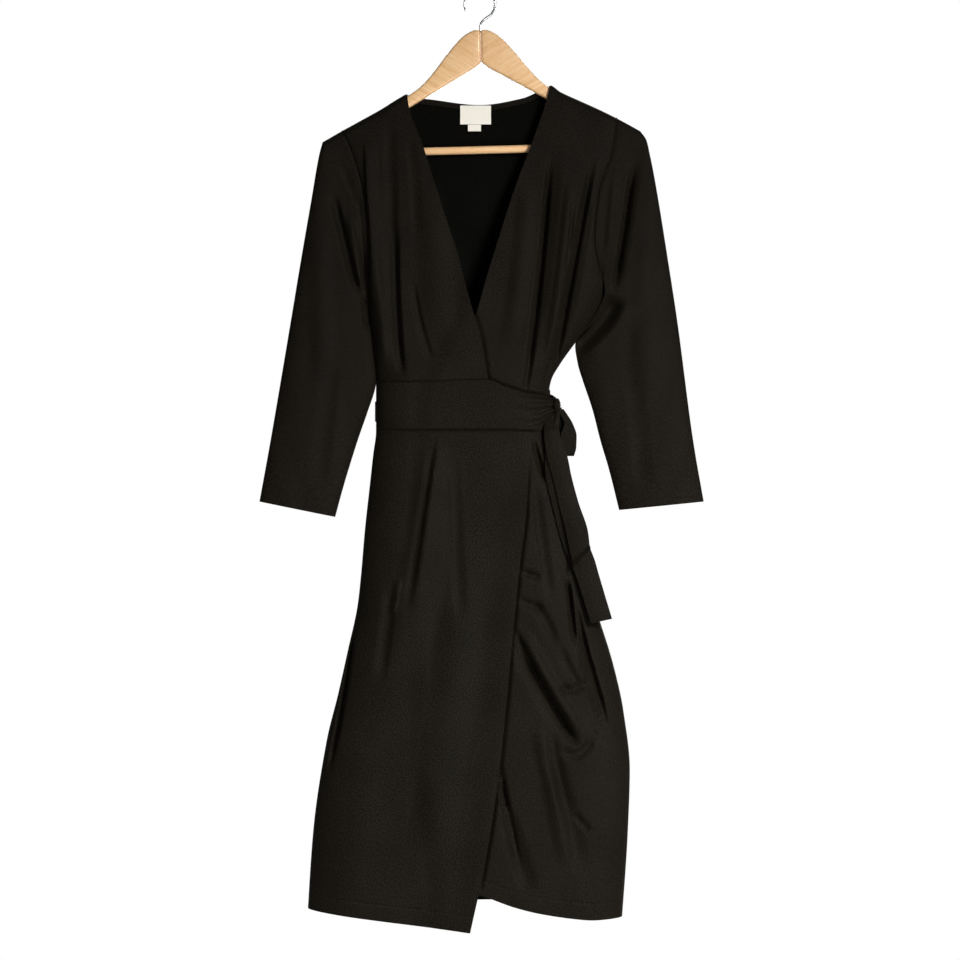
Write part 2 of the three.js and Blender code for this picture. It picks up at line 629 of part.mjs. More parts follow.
// A sleeve: rings that fan out from the armhole, over the shoulder tip, to the cuff
function sleeve(name, armhole, outerEdge, underEdge, folds, side) {
  const TIP_AT = 0.05;
  const [AT_SEAM, BELOW_SEAM] = [0.5, 1.8]; // clearance outside the armhole and the side seam
  const start = armhole[0];
  const top = [start.x, shoulder(start.x)];
  const tip = outerEdge[0];
  const under = underEdge[0];
  const outerPoint = (t) => {
    if (t <= TIP_AT) {
      const x = lerp(start.x, tip.x, t / TIP_AT);
      return [x, shoulder(x)];
    }
    const z = lerp(tip.z, outerEdge.at(-1).z, (t - TIP_AT) / (1 - TIP_AT));
    return [read(outerEdge, "x", z), z];
  };
  const underPoint = (t) => {
    const z = lerp(under.z, underEdge.at(-1).z, t);
    return [read(underEdge, "x", z), z];
  };
  const seam = (s) => {
    const z = lerp(top[1], under.z, s);
    return [read(armhole, "x", z), z];
  };
  const point = (u, t) => {
    const s = (1 - Math.cos(2 * Math.PI * u)) / 2;
    const [outerEnd, underEnd, atSeam] = [outerPoint(t), underPoint(t), seam(s)];
    const bow = 1 - ease(t / 0.3);
    const [along, z] = [0, 1].map((k) => lerp(outerEnd[k], underEnd[k], s)
      + bow * (atSeam[k] - lerp(top[k], [under.x, under.z][k], s)));
    const clear = lerp(AT_SEAM, BELOW_SEAM, ease(t / 0.05));
    const x = side * Math.max(side * along, side * read(armhole, "x", z) + clear);
    if (s < 1e-6 || s > 1 - 1e-6) return new THREE.Vector3(x, 0, z);
    const square = read(SLEEVE_DEPTH, "square", t, "t");
    const full = read(SLEEVE_DEPTH, "depth", t, "t")
      * (1 - Math.abs(1 - 2 * s) ** square) ** (1 / square);
    const seamDepth = bodyDepth(...atSeam, u < 0.5 ? "front" : "back");
    const fold = foldDepth(folds, x, z) * ease(t / 0.08) * (u < 0.5 ? 1 : 0.6);
    const depth = lerp(seamDepth, full, ease(t / 0.25)) - fold;
    return new THREE.Vector3(x, u < 0.5 ? -depth : depth, z);
  };
  const rings = steps(10, { start: 0.1, fine: 3 });
  const half = ARMHOLE_ROWS.map((s) => Math.acos(1 - 2 * s) / (2 * Math.PI));
  const around = [...half, ...half.slice(0, -1).reverse().map((u) => 1 - u)];
  const keep = (p) => { p.x = side * Math.max(side * p.x, side * read(armhole, "x", p.z) + AT_SEAM); };
  add(name, clothWall(point, around, rings, { outward: side, tube: true, keep }), colours.cloth);
}

// Waistband of the upper front: it narrows in soft pleats past the crossing, into the knot
function waistbandUpper() {
  const [left, right] = [WRAP_END[0].x, WRAP_END.at(-1).x];
  const PLEATS = 3;
  const PLEAT_DEPTH = 1.3;
  add("waistband_upper", clothWall((u, v) => {
    const x = lerp(left, right, u);
    const z = lerp(read(WRAP_END, "top", x, "x"), read(WRAP_END, "bottom", x, "x"), v);
    const onBody = bodyDepth(x, z, "front") + overlapStep(x, z);
    const free = ease((x - 35) / 30);
    const depth = lerp(onBody, read(WRAP_END, "depth", x, "x"), free);
    const pleat = PLEAT_DEPTH * Math.cos(2 * Math.PI * PLEATS * v) * ease((x - 42) / 40);
    return new THREE.Vector3(x, -depth - pleat, z);
  }, steps(16, { start: 0.2, fine: 4 }), steps(10), FRONT), colours.cloth);
}

// Waistband of the lower front, whose end runs under the upper front to the side seam
function waistbandLower() {
  const [left, right] = [WAIST_LEFT + 13, WAIST_RIGHT];
  add("waistband_lower", clothWall((u, v) => {
    const x = lerp(left, right, u);
    const z = lerp(LOWER_WAIST_SEAM - SEAM_GAP, WAISTBAND_BOTTOM, v);
    const inset = OVERLAP_STEP - overlapStep(x, z);
    return new THREE.Vector3(x, -bodyDepth(x, z, "front") + inset, z);
  }, steps(12, { end: 0.22, fine: 4 }), steps(3), FRONT), colours.cloth);
}

function waistbandBack() {
  add("waistband_back", clothWall((u, v) => {
    const x = lerp(WAIST_LEFT, WAIST_RIGHT, u);
    const z = lerp(backWaist(u), WAISTBAND_BOTTOM, v);
    return new THREE.Vector3(x, bodyDepth(x, z, "back"), z);
  }, steps(10, { start: 0.2, end: 0.2 }), steps(3), BACK), colours.cloth);
}

// A skirt panel between its waist seam, its hem and two long edges
function skirtPanel(name, edges, hem, depthAt, columns, rows, options) {
  const top = WAISTBAND_BOTTOM - SEAM_GAP;
  const lows = [hem[0].z, hem.at(-1).z];
  const waist = edges.map((side) => read(side, "x", top));
  const corners = edges.map((side, i) => read(side, "x", lows[i]));
  const panel = patch({
    top: (u) => [lerp(...waist, u), top],
    bottom: (u) => [lerp(...corners, u), read(hem, "z", lerp(hem[0].x, hem.at(-1).x, u), "x")],
    left: edge(edges[0], top, lows[0]),
    right: edge(edges[1], top, lows[1]),
  });
  add(name, clothWall((u, v) => {
    const [x, z] = panel(u, v);
    return new THREE.Vector3(x, depthAt(x, z, v), z);
  }, columns, steps(rows), options), colours.cloth);
}

function skirt() {
  const below = (v) => ease(v / 0.06);
  skirtPanel("skirt_front_upper", [LEFT_EDGE, UPPER_SKIRT_EDGE], UPPER_HEM, (x, z, v) => {
    const nearEdge = ease((x - read(UPPER_SKIRT_EDGE, "x", z) + 34) / 34);
    const lift = EDGE_LIFT * nearEdge * ease((v - 0.1) / 0.4);
    return upperFront(x, z, UPPER_SKIRT_FOLDS, below(v)) - lift;
  }, steps(13, { start: 0.24, fine: 4 }), 18, FRONT);
  skirtPanel("skirt_front_lower", [LOWER_SKIRT_EDGE, RIGHT_EDGE], LOWER_HEM, (x, z, v) => (
    lowerFront(x, z, LOWER_SKIRT_FOLDS, UPPER_SKIRT_FOLDS, below(v))
  ), steps(14, { end: 0.26, fine: 4 }), 19, FRONT);
  skirtPanel("skirt_back", [LEFT_EDGE, RIGHT_EDGE], BACK_HEM, (x, z, v) => (
    bodyDepth(x, z, "back") - foldDepth(SKIRT_BACK_FOLDS, x, z) * below(v)
  ), steps(9, { start: 0.18, end: 0.18, fine: 3 }), 15, BACK);
}

// The tie: two tails, a loop, the knot, and the band that comes round the back
function tail(name, rows, slant) {
  const [high, low] = [rows[0].z, rows.at(-1).z];
  const CROWN = 1.5;
  add(name, clothWall((u, v) => {
    const at = lerp(high, low, v);
    const x = lerp(read(rows, "left", at), read(rows, "right", at), u);
    const y = -read(rows, "front", at) - CROWN * Math.sin(Math.PI * u);
    return new THREE.Vector3(x, y, at - slant * (1 - u) * v ** 6);
  }, steps(5), steps(12), { outward: -1, thick: TIE_WALL }), colours.cloth);
}

function tie() {
  tail("tie_tail_short", SHORT_TAIL, SHORT_TAIL_SLANT);
  tail("tie_tail_long", LONG_TAIL, LONG_TAIL_SLANT);
  const [high, low] = [LOOP_EDGES[0].z, LOOP_EDGES.at(-1).z];
  const STRAIGHT = 0.35; // share of the loop that is straight on each side of the round
  add("tie_loop", clothWall((u, v) => {
    const turn = Math.PI * clamp01((v - STRAIGHT) / (1 - 2 * STRAIGHT));
    const fall = clamp01(Math.min(v, 1 - v) / STRAIGHT);
    const half = lerp(LOOP_TOP_HALF, LOOP_HALF, ease(fall));
    const z = lerp(high, low + LOOP_HALF, fall) - LOOP_HALF * Math.sin(turn);
    const x = lerp(read(LOOP_EDGES, "left", z), read(LOOP_EDGES, "right", z), u);
    return new THREE.Vector3(x, -LOOP_MIDDLE - half * Math.cos(turn), z);
  }, steps(4), steps(20), { outward: -1, thick: LOOP_WALL }), colours.cloth);
  const knot = new THREE.SphereGeometry(1, 14, 10);
  knot.scale(KNOT.wide, KNOT.deep, KNOT.high);
  knot.translate(KNOT.x, KNOT.y, KNOT.z);
  add("tie_knot", knot, colours.cloth);
  add("tie_sash", clothWall((u, v) => {
    const [x, y, z] = ["x", "y", "z"].map((column) => read(SASH, column, u, "t"));
    return new THREE.Vector3(x, y, z + (0.5 - v) * read(SASH, "high", u, "t"));
  }, SASH.flatMap((row, i) => (i ? [lerp(SASH[i - 1].t, row.t, 0.5), row.t] : [row.t])),
  steps(3), { outward: 1, thick: TIE_WALL }), colours.cloth);
}

// Hanger: two arms glued at the apex, a dowel bar between them and a wire hook
function hanger() {
  const level = new THREE.Group();
  level.rotation.y = -TILT;
  dress.add(level);
  const steel = colours.steel;
  for (const [name, side] of [["hanger_arm_left", -1], ["hanger_arm_right", 1]]) {
    const outline = new THREE.Shape();
    const at = (x, z) => [side * x, z];
    outline.moveTo(...at(SEAM_GAP / 2, APEX));
    outline.lineTo(...at(9, APEX - 0.5));
    outline.bezierCurveTo(...at(26, APEX - 6), ...at(36, -74), ...at(47, -86));
    outline.bezierCurveTo(...at(60, -103), ...at(74, -122), ...at(92, -132.6));
    outline.lineTo(...at(ARM_REACH - 10, -185.8));
    outline.quadraticCurveTo(...at(ARM_REACH, -192), ...at(ARM_REACH, -202));
    outline.lineTo(...at(ARM_REACH, -210));
    outline.quadraticCurveTo(...at(ARM_REACH, -216), ...at(ARM_REACH - 6, -216));
    outline.lineTo(...at(BOSS_INNER, -216));
    outline.lineTo(...at(BOSS_INNER, -200));
    outline.quadraticCurveTo(...at(BOSS_INNER, -195.8), ...at(BOSS_INNER - 5, -193));
    outline.lineTo(...at(8.8, -101.4));
    outline.quadraticCurveTo(...at(4, -97), ...at(SEAM_GAP / 2, -95));
    outline.closePath();
    const arm = new THREE.ExtrudeGeometry(outline, {
      depth: ARM_THICK - 2 * ARM_ROUND,
      bevelThickness: ARM_ROUND,
      bevelSize: ARM_ROUND,
      bevelOffset: -ARM_ROUND,
      bevelSegments: 2,
      curveSegments: 4,
    });
    arm.translate(0, 0, -(ARM_THICK - 2 * ARM_ROUND) / 2);
    arm.rotateX(Math.PI / 2);
    add(name, arm, colours.wood, level);
  }
  const bar = new THREE.CylinderGeometry(BAR_RADIUS, BAR_RADIUS, 2 * (BOSS_INNER - SEAM_GAP), 14);
  bar.rotateZ(Math.PI / 2);
  bar.translate(0, 0, BAR_HEIGHT);
  add("hanger_bar", bar, colours.wood, level);

  const centre = WIRE_RADIUS - HOOK_RADIUS;
  const path = [[0, APEX + SEAM_GAP], [0, -46], [1.5, -41.5], [7, centre - HOOK_RADIUS * 0.93]];
  for (let angle = -50; angle <= 205; angle += 15) {
    const turn = THREE.MathUtils.degToRad(angle);
    path.push([HOOK_RADIUS * Math.cos(turn), centre + HOOK_RADIUS * Math.sin(turn)]);
  }
  const curve = new THREE.CatmullRomCurve3(path.map(([x, z]) => new THREE.Vector3(x, 0, z)));
  const section = new THREE.Shape().absarc(0, 0, WIRE_RADIUS, 0, 2 * Math.PI);
  add("hanger_hook", new THREE.ExtrudeGeometry(section, {
    steps: 30, extrudePath: curve, curveSegments: 4, bevelEnabled: false,
  }), steel, level);
}

bodiceFronts();
bodiceBack();
neckTrim();
sleeve("sleeve_left", LEFT_EDGE, LEFT_SLEEVE_OUTER, LEFT_SLEEVE_UNDER, LEFT_SLEEVE_FOLDS, -1);
sleeve("sleeve_right", RIGHT_EDGE, RIGHT_SLEEVE_OUTER, RIGHT_SLEEVE_UNDER, RIGHT_SLEEVE_FOLDS, 1);
waistbandUpper();
waistbandLower();
waistbandBack();
skirt();
tie();
hanger();

export default dress;
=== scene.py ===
import math

import bpy
import numpy as np
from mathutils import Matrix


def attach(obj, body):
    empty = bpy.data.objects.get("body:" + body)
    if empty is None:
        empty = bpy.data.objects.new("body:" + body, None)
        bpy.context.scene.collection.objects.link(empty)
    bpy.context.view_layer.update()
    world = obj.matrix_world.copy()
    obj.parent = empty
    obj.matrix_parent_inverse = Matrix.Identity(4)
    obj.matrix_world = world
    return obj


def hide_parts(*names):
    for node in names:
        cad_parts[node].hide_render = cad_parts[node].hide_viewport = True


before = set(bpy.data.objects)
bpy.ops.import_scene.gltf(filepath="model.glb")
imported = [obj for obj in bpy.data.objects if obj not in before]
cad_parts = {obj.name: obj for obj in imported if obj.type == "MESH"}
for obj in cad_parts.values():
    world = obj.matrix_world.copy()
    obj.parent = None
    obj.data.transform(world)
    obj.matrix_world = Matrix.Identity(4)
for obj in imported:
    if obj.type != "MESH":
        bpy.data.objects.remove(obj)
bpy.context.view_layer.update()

# Hanger arms: two boards of beech, sawn to a curve and rounded over along every edge, then
# dipped in clear lacquer. They are glued together at the apex, and a notch under each end
# leaves room for the bar.
MM = 0.001
TILT = math.radians(1.5)  # the hanger hangs a little lower on the left
ARM_THICK, ARM_ROUND, ARM_REACH = 12, 3.5, 196
APEX, BOSS_INNER, ARM_LOW = -52, 174, -216
ARM_TOP = [
    [(0.15, APEX), (9, APEX - 0.5)],
    [(9, APEX - 0.5), (26, APEX - 6), (36, -74), (47, -86)],
    [(47, -86), (60, -103), (74, -122), (92, -132.6)],
    [(92, -132.6), (ARM_REACH - 10, -185.8)],
    [(ARM_REACH - 10, -185.8), (ARM_REACH, -192), (ARM_REACH, -202)],
    [(ARM_REACH, -202), (ARM_REACH, -210)],
    [(ARM_REACH, -210), (ARM_REACH, ARM_LOW), (ARM_REACH - 6, ARM_LOW)],
    [(ARM_REACH - 6, ARM_LOW), (BOSS_INNER, ARM_LOW)],
    [(BOSS_INNER, ARM_LOW), (BOSS_INNER, -200)],
    [(BOSS_INNER, -200), (BOSS_INNER, -195.8), (BOSS_INNER - 5, -193)],
    [(BOSS_INNER - 5, -193), (8.8, -101.4)],
    [(8.8, -101.4), (4, -97), (0.15, -95)],
    [(0.15, -95), (0.15, APEX)],
]


def colour(code):
    """An sRGB hex colour as Blender's linear one."""
    parts = [int(code[i:i + 2], 16) / 255 for i in (0, 2, 4)]
    return (*[p / 12.92 if p < 0.04045 else ((p + 0.055) / 1.055) ** 2.4 for p in parts], 1)


def add(material, kind, inputs, **settings):
    """A node with its settings, and with each input linked to an output or set to a value."""
    node = material.node_tree.nodes.new(kind)
    for name, value in settings.items():
        setattr(node, name, value)
    for socket, value in inputs.items():
        if isinstance(value, bpy.types.NodeSocket):
            material.node_tree.links.new(value, node.inputs[socket])
        else:
            node.inputs[socket].default_value = value
    return node


def finish(name, **values):
    """A material with its Principled shader, whose constant values are set on its sockets."""
    material = bpy.data.materials.new(name)
    material.use_nodes = True
    shader = material.node_tree.nodes["Principled BSDF"]
    for socket, value in values.items():
        shader.inputs[socket.replace("_", " ")].default_value = value
    return material, shader


def ramp(material, factor, stops):
    """A colour ramp from the factor through the stops, each a place and a colour."""
    node = add(material, "ShaderNodeValToRGB", {"Fac": factor})
    elements = node.color_ramp.elements
    while len(elements) < len(stops):
        elements.new(0.5)
    for element, (place, value) in zip(elements, stops):
        element.position, element.color = place, value
    return node.outputs["Color"]


def deselect():
    bpy.ops.object.select_all(action="DESELECT")


def edit(*steps):
    """Runs mesh operators in edit mode on the active piece, with all of it selected."""
    bpy.ops.object.mode_set(mode="EDIT")
    bpy.ops.mesh.select_all(action="SELECT")
    for step in steps:
        step()
    bpy.ops.object.mode_set(mode="OBJECT")


def modify(piece, kind, **settings):
    modifier = piece.modifiers.new(kind.title(), kind)
    for name, value in settings.items():
        setattr(modifier, name, value)
    bpy.ops.object.modifier_apply(modifier=modifier.name)


def bezier(points, count):
    """Points along a straight line or a Bezier curve, without its last one."""
    found = []
    for t in np.arange(count) / count:
        level = [np.array(p, float) for p in points]
        while len(level) > 1:
            level = [a + (b - a) * t for a, b in zip(level, level[1:])]
        found.append(level[0])
    return found


def tilted(x, z):
    return x * math.cos(TILT) - z * math.sin(TILT), x * math.sin(TILT) + z * math.cos(TILT)


# Beech, planed, with a satin clear lacquer: pale pinkish tan, with straight fine grain that
# runs along the board and short darker flecks.
def beech(name, slope):
    material, shader = finish(name, Roughness=0.42, Coat_Weight=0.35, Coat_Roughness=0.22)
    place = add(material, "ShaderNodeTexCoord", {}).outputs["Object"]
    along = add(material, "ShaderNodeMapping", {"Vector": place, "Rotation": (0, slope, 0)})
    grain_at = add(material, "ShaderNodeMapping", {
        "Vector": along.outputs["Vector"], "Scale": (14, 260, 260)})  # grain 4 mm apart
    grain = add(material, "ShaderNodeTexNoise", {
        "Vector": grain_at.outputs["Vector"], "Scale": 1.0, "Detail": 6, "Roughness": 0.62})
    fleck_at = add(material, "ShaderNodeMapping", {
        "Vector": along.outputs["Vector"], "Scale": (260, 1600, 1600)})  # flecks 3 mm long
    fleck = add(material, "ShaderNodeTexNoise", {
        "Vector": fleck_at.outputs["Vector"], "Scale": 1.0, "Detail": 2})
    wood = ramp(material, grain.outputs["Fac"], [
        (0.28, colour("d9a870")), (0.5, colour("e6bb88")), (0.72, colour("efcb9c"))])
    flecks = ramp(material, fleck.outputs["Fac"], [
        (0.3, colour("c8945c")), (0.42, colour("ffffff"))])
    mixed = add(material, "ShaderNodeMix", {
        "Factor": 0.35, "A": wood, "B": flecks}, data_type="RGBA", blend_type="MULTIPLY")
    bump = add(material, "ShaderNodeBump", {
        "Height": grain.outputs["Fac"], "Strength": 0.12, "Distance": 0.0003})
    links = material.node_tree.links
    links.new(mixed.outputs["Result"], shader.inputs["Base Color"])
    links.new(bump.outputs["Normal"], shader.inputs["Normal"])
    return material


ARM_SLOPE = math.radians(31)
for side, node in ((-1, "hanger_arm_left"), (1, "hanger_arm_right")):
    outline = [p for part in ARM_TOP for p in bezier(part, 1 if len(part) == 2 else 9)]
    deselect()
    bpy.ops.mesh.primitive_circle_add(vertices=len(outline), fill_type="NGON")
    arm = bpy.context.object
    arm.name = f"{node}_board"
    for vertex, (x, z) in zip(arm.data.vertices, outline):
        x, z = tilted(side * x, z)
        vertex.co = (x * MM, -ARM_THICK / 2 * MM, z * MM)
    edit(lambda: bpy.ops.mesh.extrude_region_move(
        TRANSFORM_OT_translate={"value": (0, ARM_THICK * MM, 0)}),
        lambda: bpy.ops.mesh.select_all(action="SELECT"),
        lambda: bpy.ops.mesh.normals_make_consistent(inside=False))
    modify(arm, "BEVEL", width=ARM_ROUND * MM, segments=5, limit_method="ANGLE",
           angle_limit=math.radians(50), use_clamp_overlap=False)
    bpy.ops.object.shade_smooth_by_angle(angle=math.radians(35))
    arm.data.materials.append(beech(f"lacquered beech {node[12:]}", side * ARM_SLOPE))
    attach(arm, "root")
    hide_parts(node)


# Hanger bar: a beech dowel, turned, that is pushed between the two arm ends and pinned.
BAR_RADIUS, BAR_HEIGHT, BAR_CLEAR, BAR_CHAMFER = 5, -208, 0.3, 0.6
deselect()
bpy.ops.mesh.primitive_cylinder_add(
    vertices=40, radius=BAR_RADIUS * MM, depth=2 * (BOSS_INNER - BAR_CLEAR) * MM,
    location=(0, 0, BAR_HEIGHT * MM), rotation=(0, math.pi / 2, 0))
bar = bpy.context.object
bar.name = "hanger_bar_dowel"
bpy.ops.object.transform_apply(location=True, rotation=True, scale=True)
modify(bar, "BEVEL", width=BAR_CHAMFER * MM, segments=3, limit_method="ANGLE")
for vertex in bar.data.vertices:
    x, z = tilted(vertex.co.x, vertex.co.z)
    vertex.co.x, vertex.co.z = x, z
bpy.ops.object.shade_smooth_by_angle(angle=math.radians(35))
bar.data.materials.append(beech("lacquered beech dowel", 0))
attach(bar, "root")
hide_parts("hanger_bar")


# Hanger hook: steel wire, bright plated, bent round a former and screwed into the apex.
WIRE_RADIUS, WIRE_END_ROUND, HOOK_RADIUS = 1.7, 0.7, 20
HOOK_CENTRE = WIRE_RADIUS - HOOK_RADIUS
hook_path = [(0, APEX - 5), (0, APEX), (0, -46), (1.5, -41.5),
             (7, HOOK_CENTRE - HOOK_RADIUS * 0.93)]
for angle in np.radians(np.arange(-50, 206, 15)):
    hook_path.append((HOOK_RADIUS * math.cos(angle), HOOK_CENTRE + HOOK_RADIUS * math.sin(angle)))
deselect()
bpy.ops.curve.primitive_nurbs_path_add()
hook = bpy.context.object
hook.name = "hanger_hook_wire"
hook.data.splines.clear()
spline = hook.data.splines.new("NURBS")
spline.points.add(len(hook_path) - 1)
for point, (x, z) in zip(spline.points, hook_path):
    x, z = tilted(x, z)
    point.co = (x * MM, 0, z * MM, 1)
spline.order_u = 4
spline.use_endpoint_u = True
hook.data.resolution_u = 6
hook.data.bevel_depth = WIRE_RADIUS * MM
hook.data.bevel_resolution = 6
hook.data.use_fill_caps = True
bpy.ops.object.convert(target="MESH")
edit(lambda: bpy.ops.mesh.remove_doubles(threshold=1e-6),
     lambda: bpy.ops.mesh.normals_make_consistent(inside=False))
modify(hook, "BEVEL", width=WIRE_END_ROUND * MM, segments=3, limit_method="ANGLE",
       angle_limit=math.radians(60))
bpy.ops.object.shade_smooth_by_angle(angle=math.radians(40))
# Nickel-plated steel wire: bright, with faint draw lines along it.
steel, shader = finish("nickel-plated steel wire", Metallic=1.0, Roughness=0.2)
shader.inputs["Base Color"].default_value = colour("c9cbcc")
place = add(steel, "ShaderNodeTexCoord", {}).outputs["Object"]
drawn = add(steel, "ShaderNodeTexNoise", {"Vector": place, "Scale": 1800.0, "Detail": 2})
rough = add(steel, "ShaderNodeMapRange", {
    "Value": drawn.outputs["Fac"], "To Min": 0.14, "To Max": 0.28})
steel.node_tree.links.new(rough.outputs["Result"], shader.inputs["Roughness"])
hook.data.materials.append(steel)
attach(hook, "root")
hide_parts("hanger_hook")


# Back of the bodice: one piece of black viscose jersey, cut with a shallow scoop for the
# neck. It hangs from the shoulder seams behind the hanger.
# Edges of the body as it hangs, as (z, x, depth): the armhole, then the side seam.
LEFT_EDGE = [
    (-182.6, -177.5, 10.5), (-208, -166, 12), (-266, -150, 15), (-325, -145, 16),
    (-372, -144, 13), (-397, -144, 7), (-410, -144, 0), (-471, -138.5, 0), (-511, -134.5, 0),
    (-573, -134.5, 0), (-604, -138.2, 0), (-643, -142.5, 0), (-702, -149, 0), (-760, -154, 0),
    (-800, -158.5, 0), (-858, -171, 0), (-916, -184, 0), (-975, -198.5, 0), (-1092, -216, 0),
    (-1225, -225, 0)]
RIGHT_EDGE = [
    (-166.4, 177.5, 10.5), (-208, 172, 12), (-266, 154, 15), (-325, 149, 16), (-360, 155, 13),
    (-382, 162.6, 7), (-393, 163.5, 0), (-410, 157.5, 0), (-440, 138.5, 0), (-463, 121.5, 0),
    (-487, 104.5, 0), (-507, 93.5, 0), (-520, 91, 0), (-573, 92, 0), (-611, 103, 0),
    (-663, 118, 0), (-728, 132, 0), (-786, 146, 0), (-877, 174, 0), (-936, 187, 0),
    (-1014, 195.5, 0), (-1092, 193, 0), (-1225, 184, 0)]
# How far the front, the back and the rounded sides stand from the middle, as (z, front,
# back, side), and the shoulder line with the back neck, as (x, z).
BODY_DEPTH = [
    (-125, 10.5, 10.5, 30), (-210, 14, 11, 36), (-300, 23, 14, 45), (-400, 29, 16, 48),
    (-511, 30, 18, 48), (-573, 30, 18, 48), (-740, 37, 26, 62), (-950, 40, 30, 70),
    (-1225, 43, 32, 76)]
FRONT, BACK, SIDE = 1, 2, 3
SHOULDER_LINE = [
    (-204, -198), (-181, -184.6), (-155, -170.3), (-129, -155.8), (-103, -139.8), (-94, -135.5),
    (-78, -139.5), (-62, -141.5), (0, -148.5), (55, -140), (76, -131.5), (92, -124),
    (105, -132.4), (131, -144.4), (157, -156.2), (183, -169.2), (209, -183.5)]
NECK_LEFT, NECK_RIGHT, NECK_ROUND = -94, 92, 4
SHOULDER_ROUND = 10
ARMHOLE_SHARE = 0.7  # most of the body's depth that an armhole may have
WAIST_LEFT, WAIST_RIGHT, WAISTBAND_TOP, WAISTBAND_BOTTOM = -134.5, 92, -511, -573
BACK_WAIST_RIGHT = -520
LEFT_UNDERARM, RIGHT_UNDERARM, UNDERARM_AT = -410, -393, 0.7
SEAM_GAP, SEAM_LAP = 0.3, 0.12  # a seam across the body shows a gap, one down its side laps
SEAM_CALM = 5  # folds and ripples start this far in from a side seam
SEAM_FADE = 0.06  # and over this share of a panel from its top and bottom
SEWN_WIDE = 1.9  # half the width of the groove along a sewn edge
JERSEY = 0.9  # thickness of the cloth
# Folds: a line from, by way of and to (x, z), its width on the left and on the right, and
# how deep it is, or below 0 how high.
BODICE_BACK_FOLDS = [
    ((-100, -270), (-106, -390), (-92, -505), 24, 22, 6),
    ((96, -260), (98, -380), (72, -505), 22, 24, 6),
    ((-10, -300), (-16, -400), (-26, -505), 36, 36, -4),
    ((-60, -230), (-66, -330), (-60, -500), 14, 18, 2.5),
    ((40, -250), (44, -360), (34, -500), 16, 12, 3),
    ((130, -330), (112, -420), (84, -500), 12, 10, 3.5),
    ((-134, -330), (-124, -410), (-118, -500), 10, 12, 3)]


def mix(a, b, t):
    return a + (b - a) * t


def ease(t):
    t = np.clip(t, 0, 1)
    return t * t * (3 - 2 * t)


def quarter_round(t):
    return np.sqrt(1 - (1 - np.clip(t, 0, 1)) ** 2)


def read(rows, at, column=1, by=0):
    """A column of a table by another one, on a smooth curve that never overshoots."""
    x, y = (np.array([row[k] for row in rows], float) for k in (by, column))
    if x[0] > x[-1]:
        x, y = x[::-1], y[::-1]
    slope = np.diff(y) / np.diff(x)
    before, after = slope[:-1], slope[1:]
    same = before * after > 0
    middle = np.where(same, 2 * before * after / np.where(same, before + after, 1), 0)
    tangent = np.concatenate([slope[:1], middle, slope[-1:]])
    i = np.clip(np.searchsorted(x, at) - 1, 0, len(x) - 2)
    span = x[i + 1] - x[i]
    t = np.clip((at - x[i]) / span, 0, 1)
    return ((2 * t ** 3 - 3 * t ** 2 + 1) * y[i] + (t ** 3 - 2 * t ** 2 + t) * span * tangent[i]
            + (3 * t ** 2 - 2 * t ** 3) * y[i + 1] + (t ** 3 - t ** 2) * span * tangent[i + 1])


def folds(rows, x, z):
    """How far the folds set the cloth in at each point of the front view."""
    total = np.zeros_like(x)
    for start, middle, end, left, right, deep in rows:
        steps = 16
        t = np.linspace(0, 1, steps + 1)[:, None]
        line = ((1 - t) ** 2 * np.array(start) + 2 * t * (1 - t) * np.array(middle)
                + t ** 2 * np.array(end))
        nearest = np.full_like(x, np.inf)
        along = np.zeros_like(x)
        side = np.zeros_like(x)
        for i in range(steps):
            (ax, az), (bx, bz) = line[i], line[i + 1]
            dx, dz = bx - ax, bz - az
            s = np.clip(((x - ax) * dx + (z - az) * dz) / (dx * dx + dz * dz), 0, 1)
            away = np.hypot(x - ax - s * dx, z - az - s * dz)
            closer = away < nearest
            nearest = np.where(closer, away, nearest)
            along = np.where(closer, (i + s) / steps, along)
            side = np.where(closer, dx * (z - az) - dz * (x - ax), side)
        wide = np.where(side > 0, right, left)
        across = (1 - np.minimum(1, nearest / wide) ** 2) ** 2
        total += deep * across * ease(along / 0.22) * ease((1 - along) / 0.22)
    return total


def ripple(x, z):
    """The faint unevenness that every hanging jersey has, half a millimetre or so."""
    return (0.35 * np.sin(x / 17 + z / 61 + 0.8) + 0.25 * np.sin(x / 9.5 - z / 44 + 2.1)
            + 0.22 * np.sin(z / 26 + x / 40 + 4.0))


def shoulder(x):
    return read(SHOULDER_LINE, x)


def back_neck(x):
    """1 along the back neck and 0 from the neck points out."""
    return quarter_round(np.minimum(x - NECK_LEFT, NECK_RIGHT - x) / NECK_ROUND)


def body_depth(x, z, face):
    """Distance of the front or the back from the middle plane, without folds."""
    full = read(BODY_DEPTH, z, face)
    from_left, from_right = x - read(LEFT_EDGE, z), read(RIGHT_EDGE, z) - x
    armhole = np.where(from_left < from_right, read(LEFT_EDGE, z, 2), read(RIGHT_EDGE, z, 2))
    across = quarter_round(np.minimum(from_left, from_right) / read(BODY_DEPTH, z, SIDE))
    turned = quarter_round((shoulder(x) - z) / SHOULDER_ROUND)
    if face == BACK:
        turned = mix(turned, 1, back_neck(x))
    return mix(np.minimum(armhole, full * ARMHOLE_SHARE), full, across) * turned - SEAM_LAP


def off_seam(x, z):
    """0 along the side seams and the armholes, and 1 from a few millimetres inside them."""
    return ease(np.minimum(x - read(LEFT_EDGE, z), read(RIGHT_EDGE, z) - x) / SEAM_CALM)


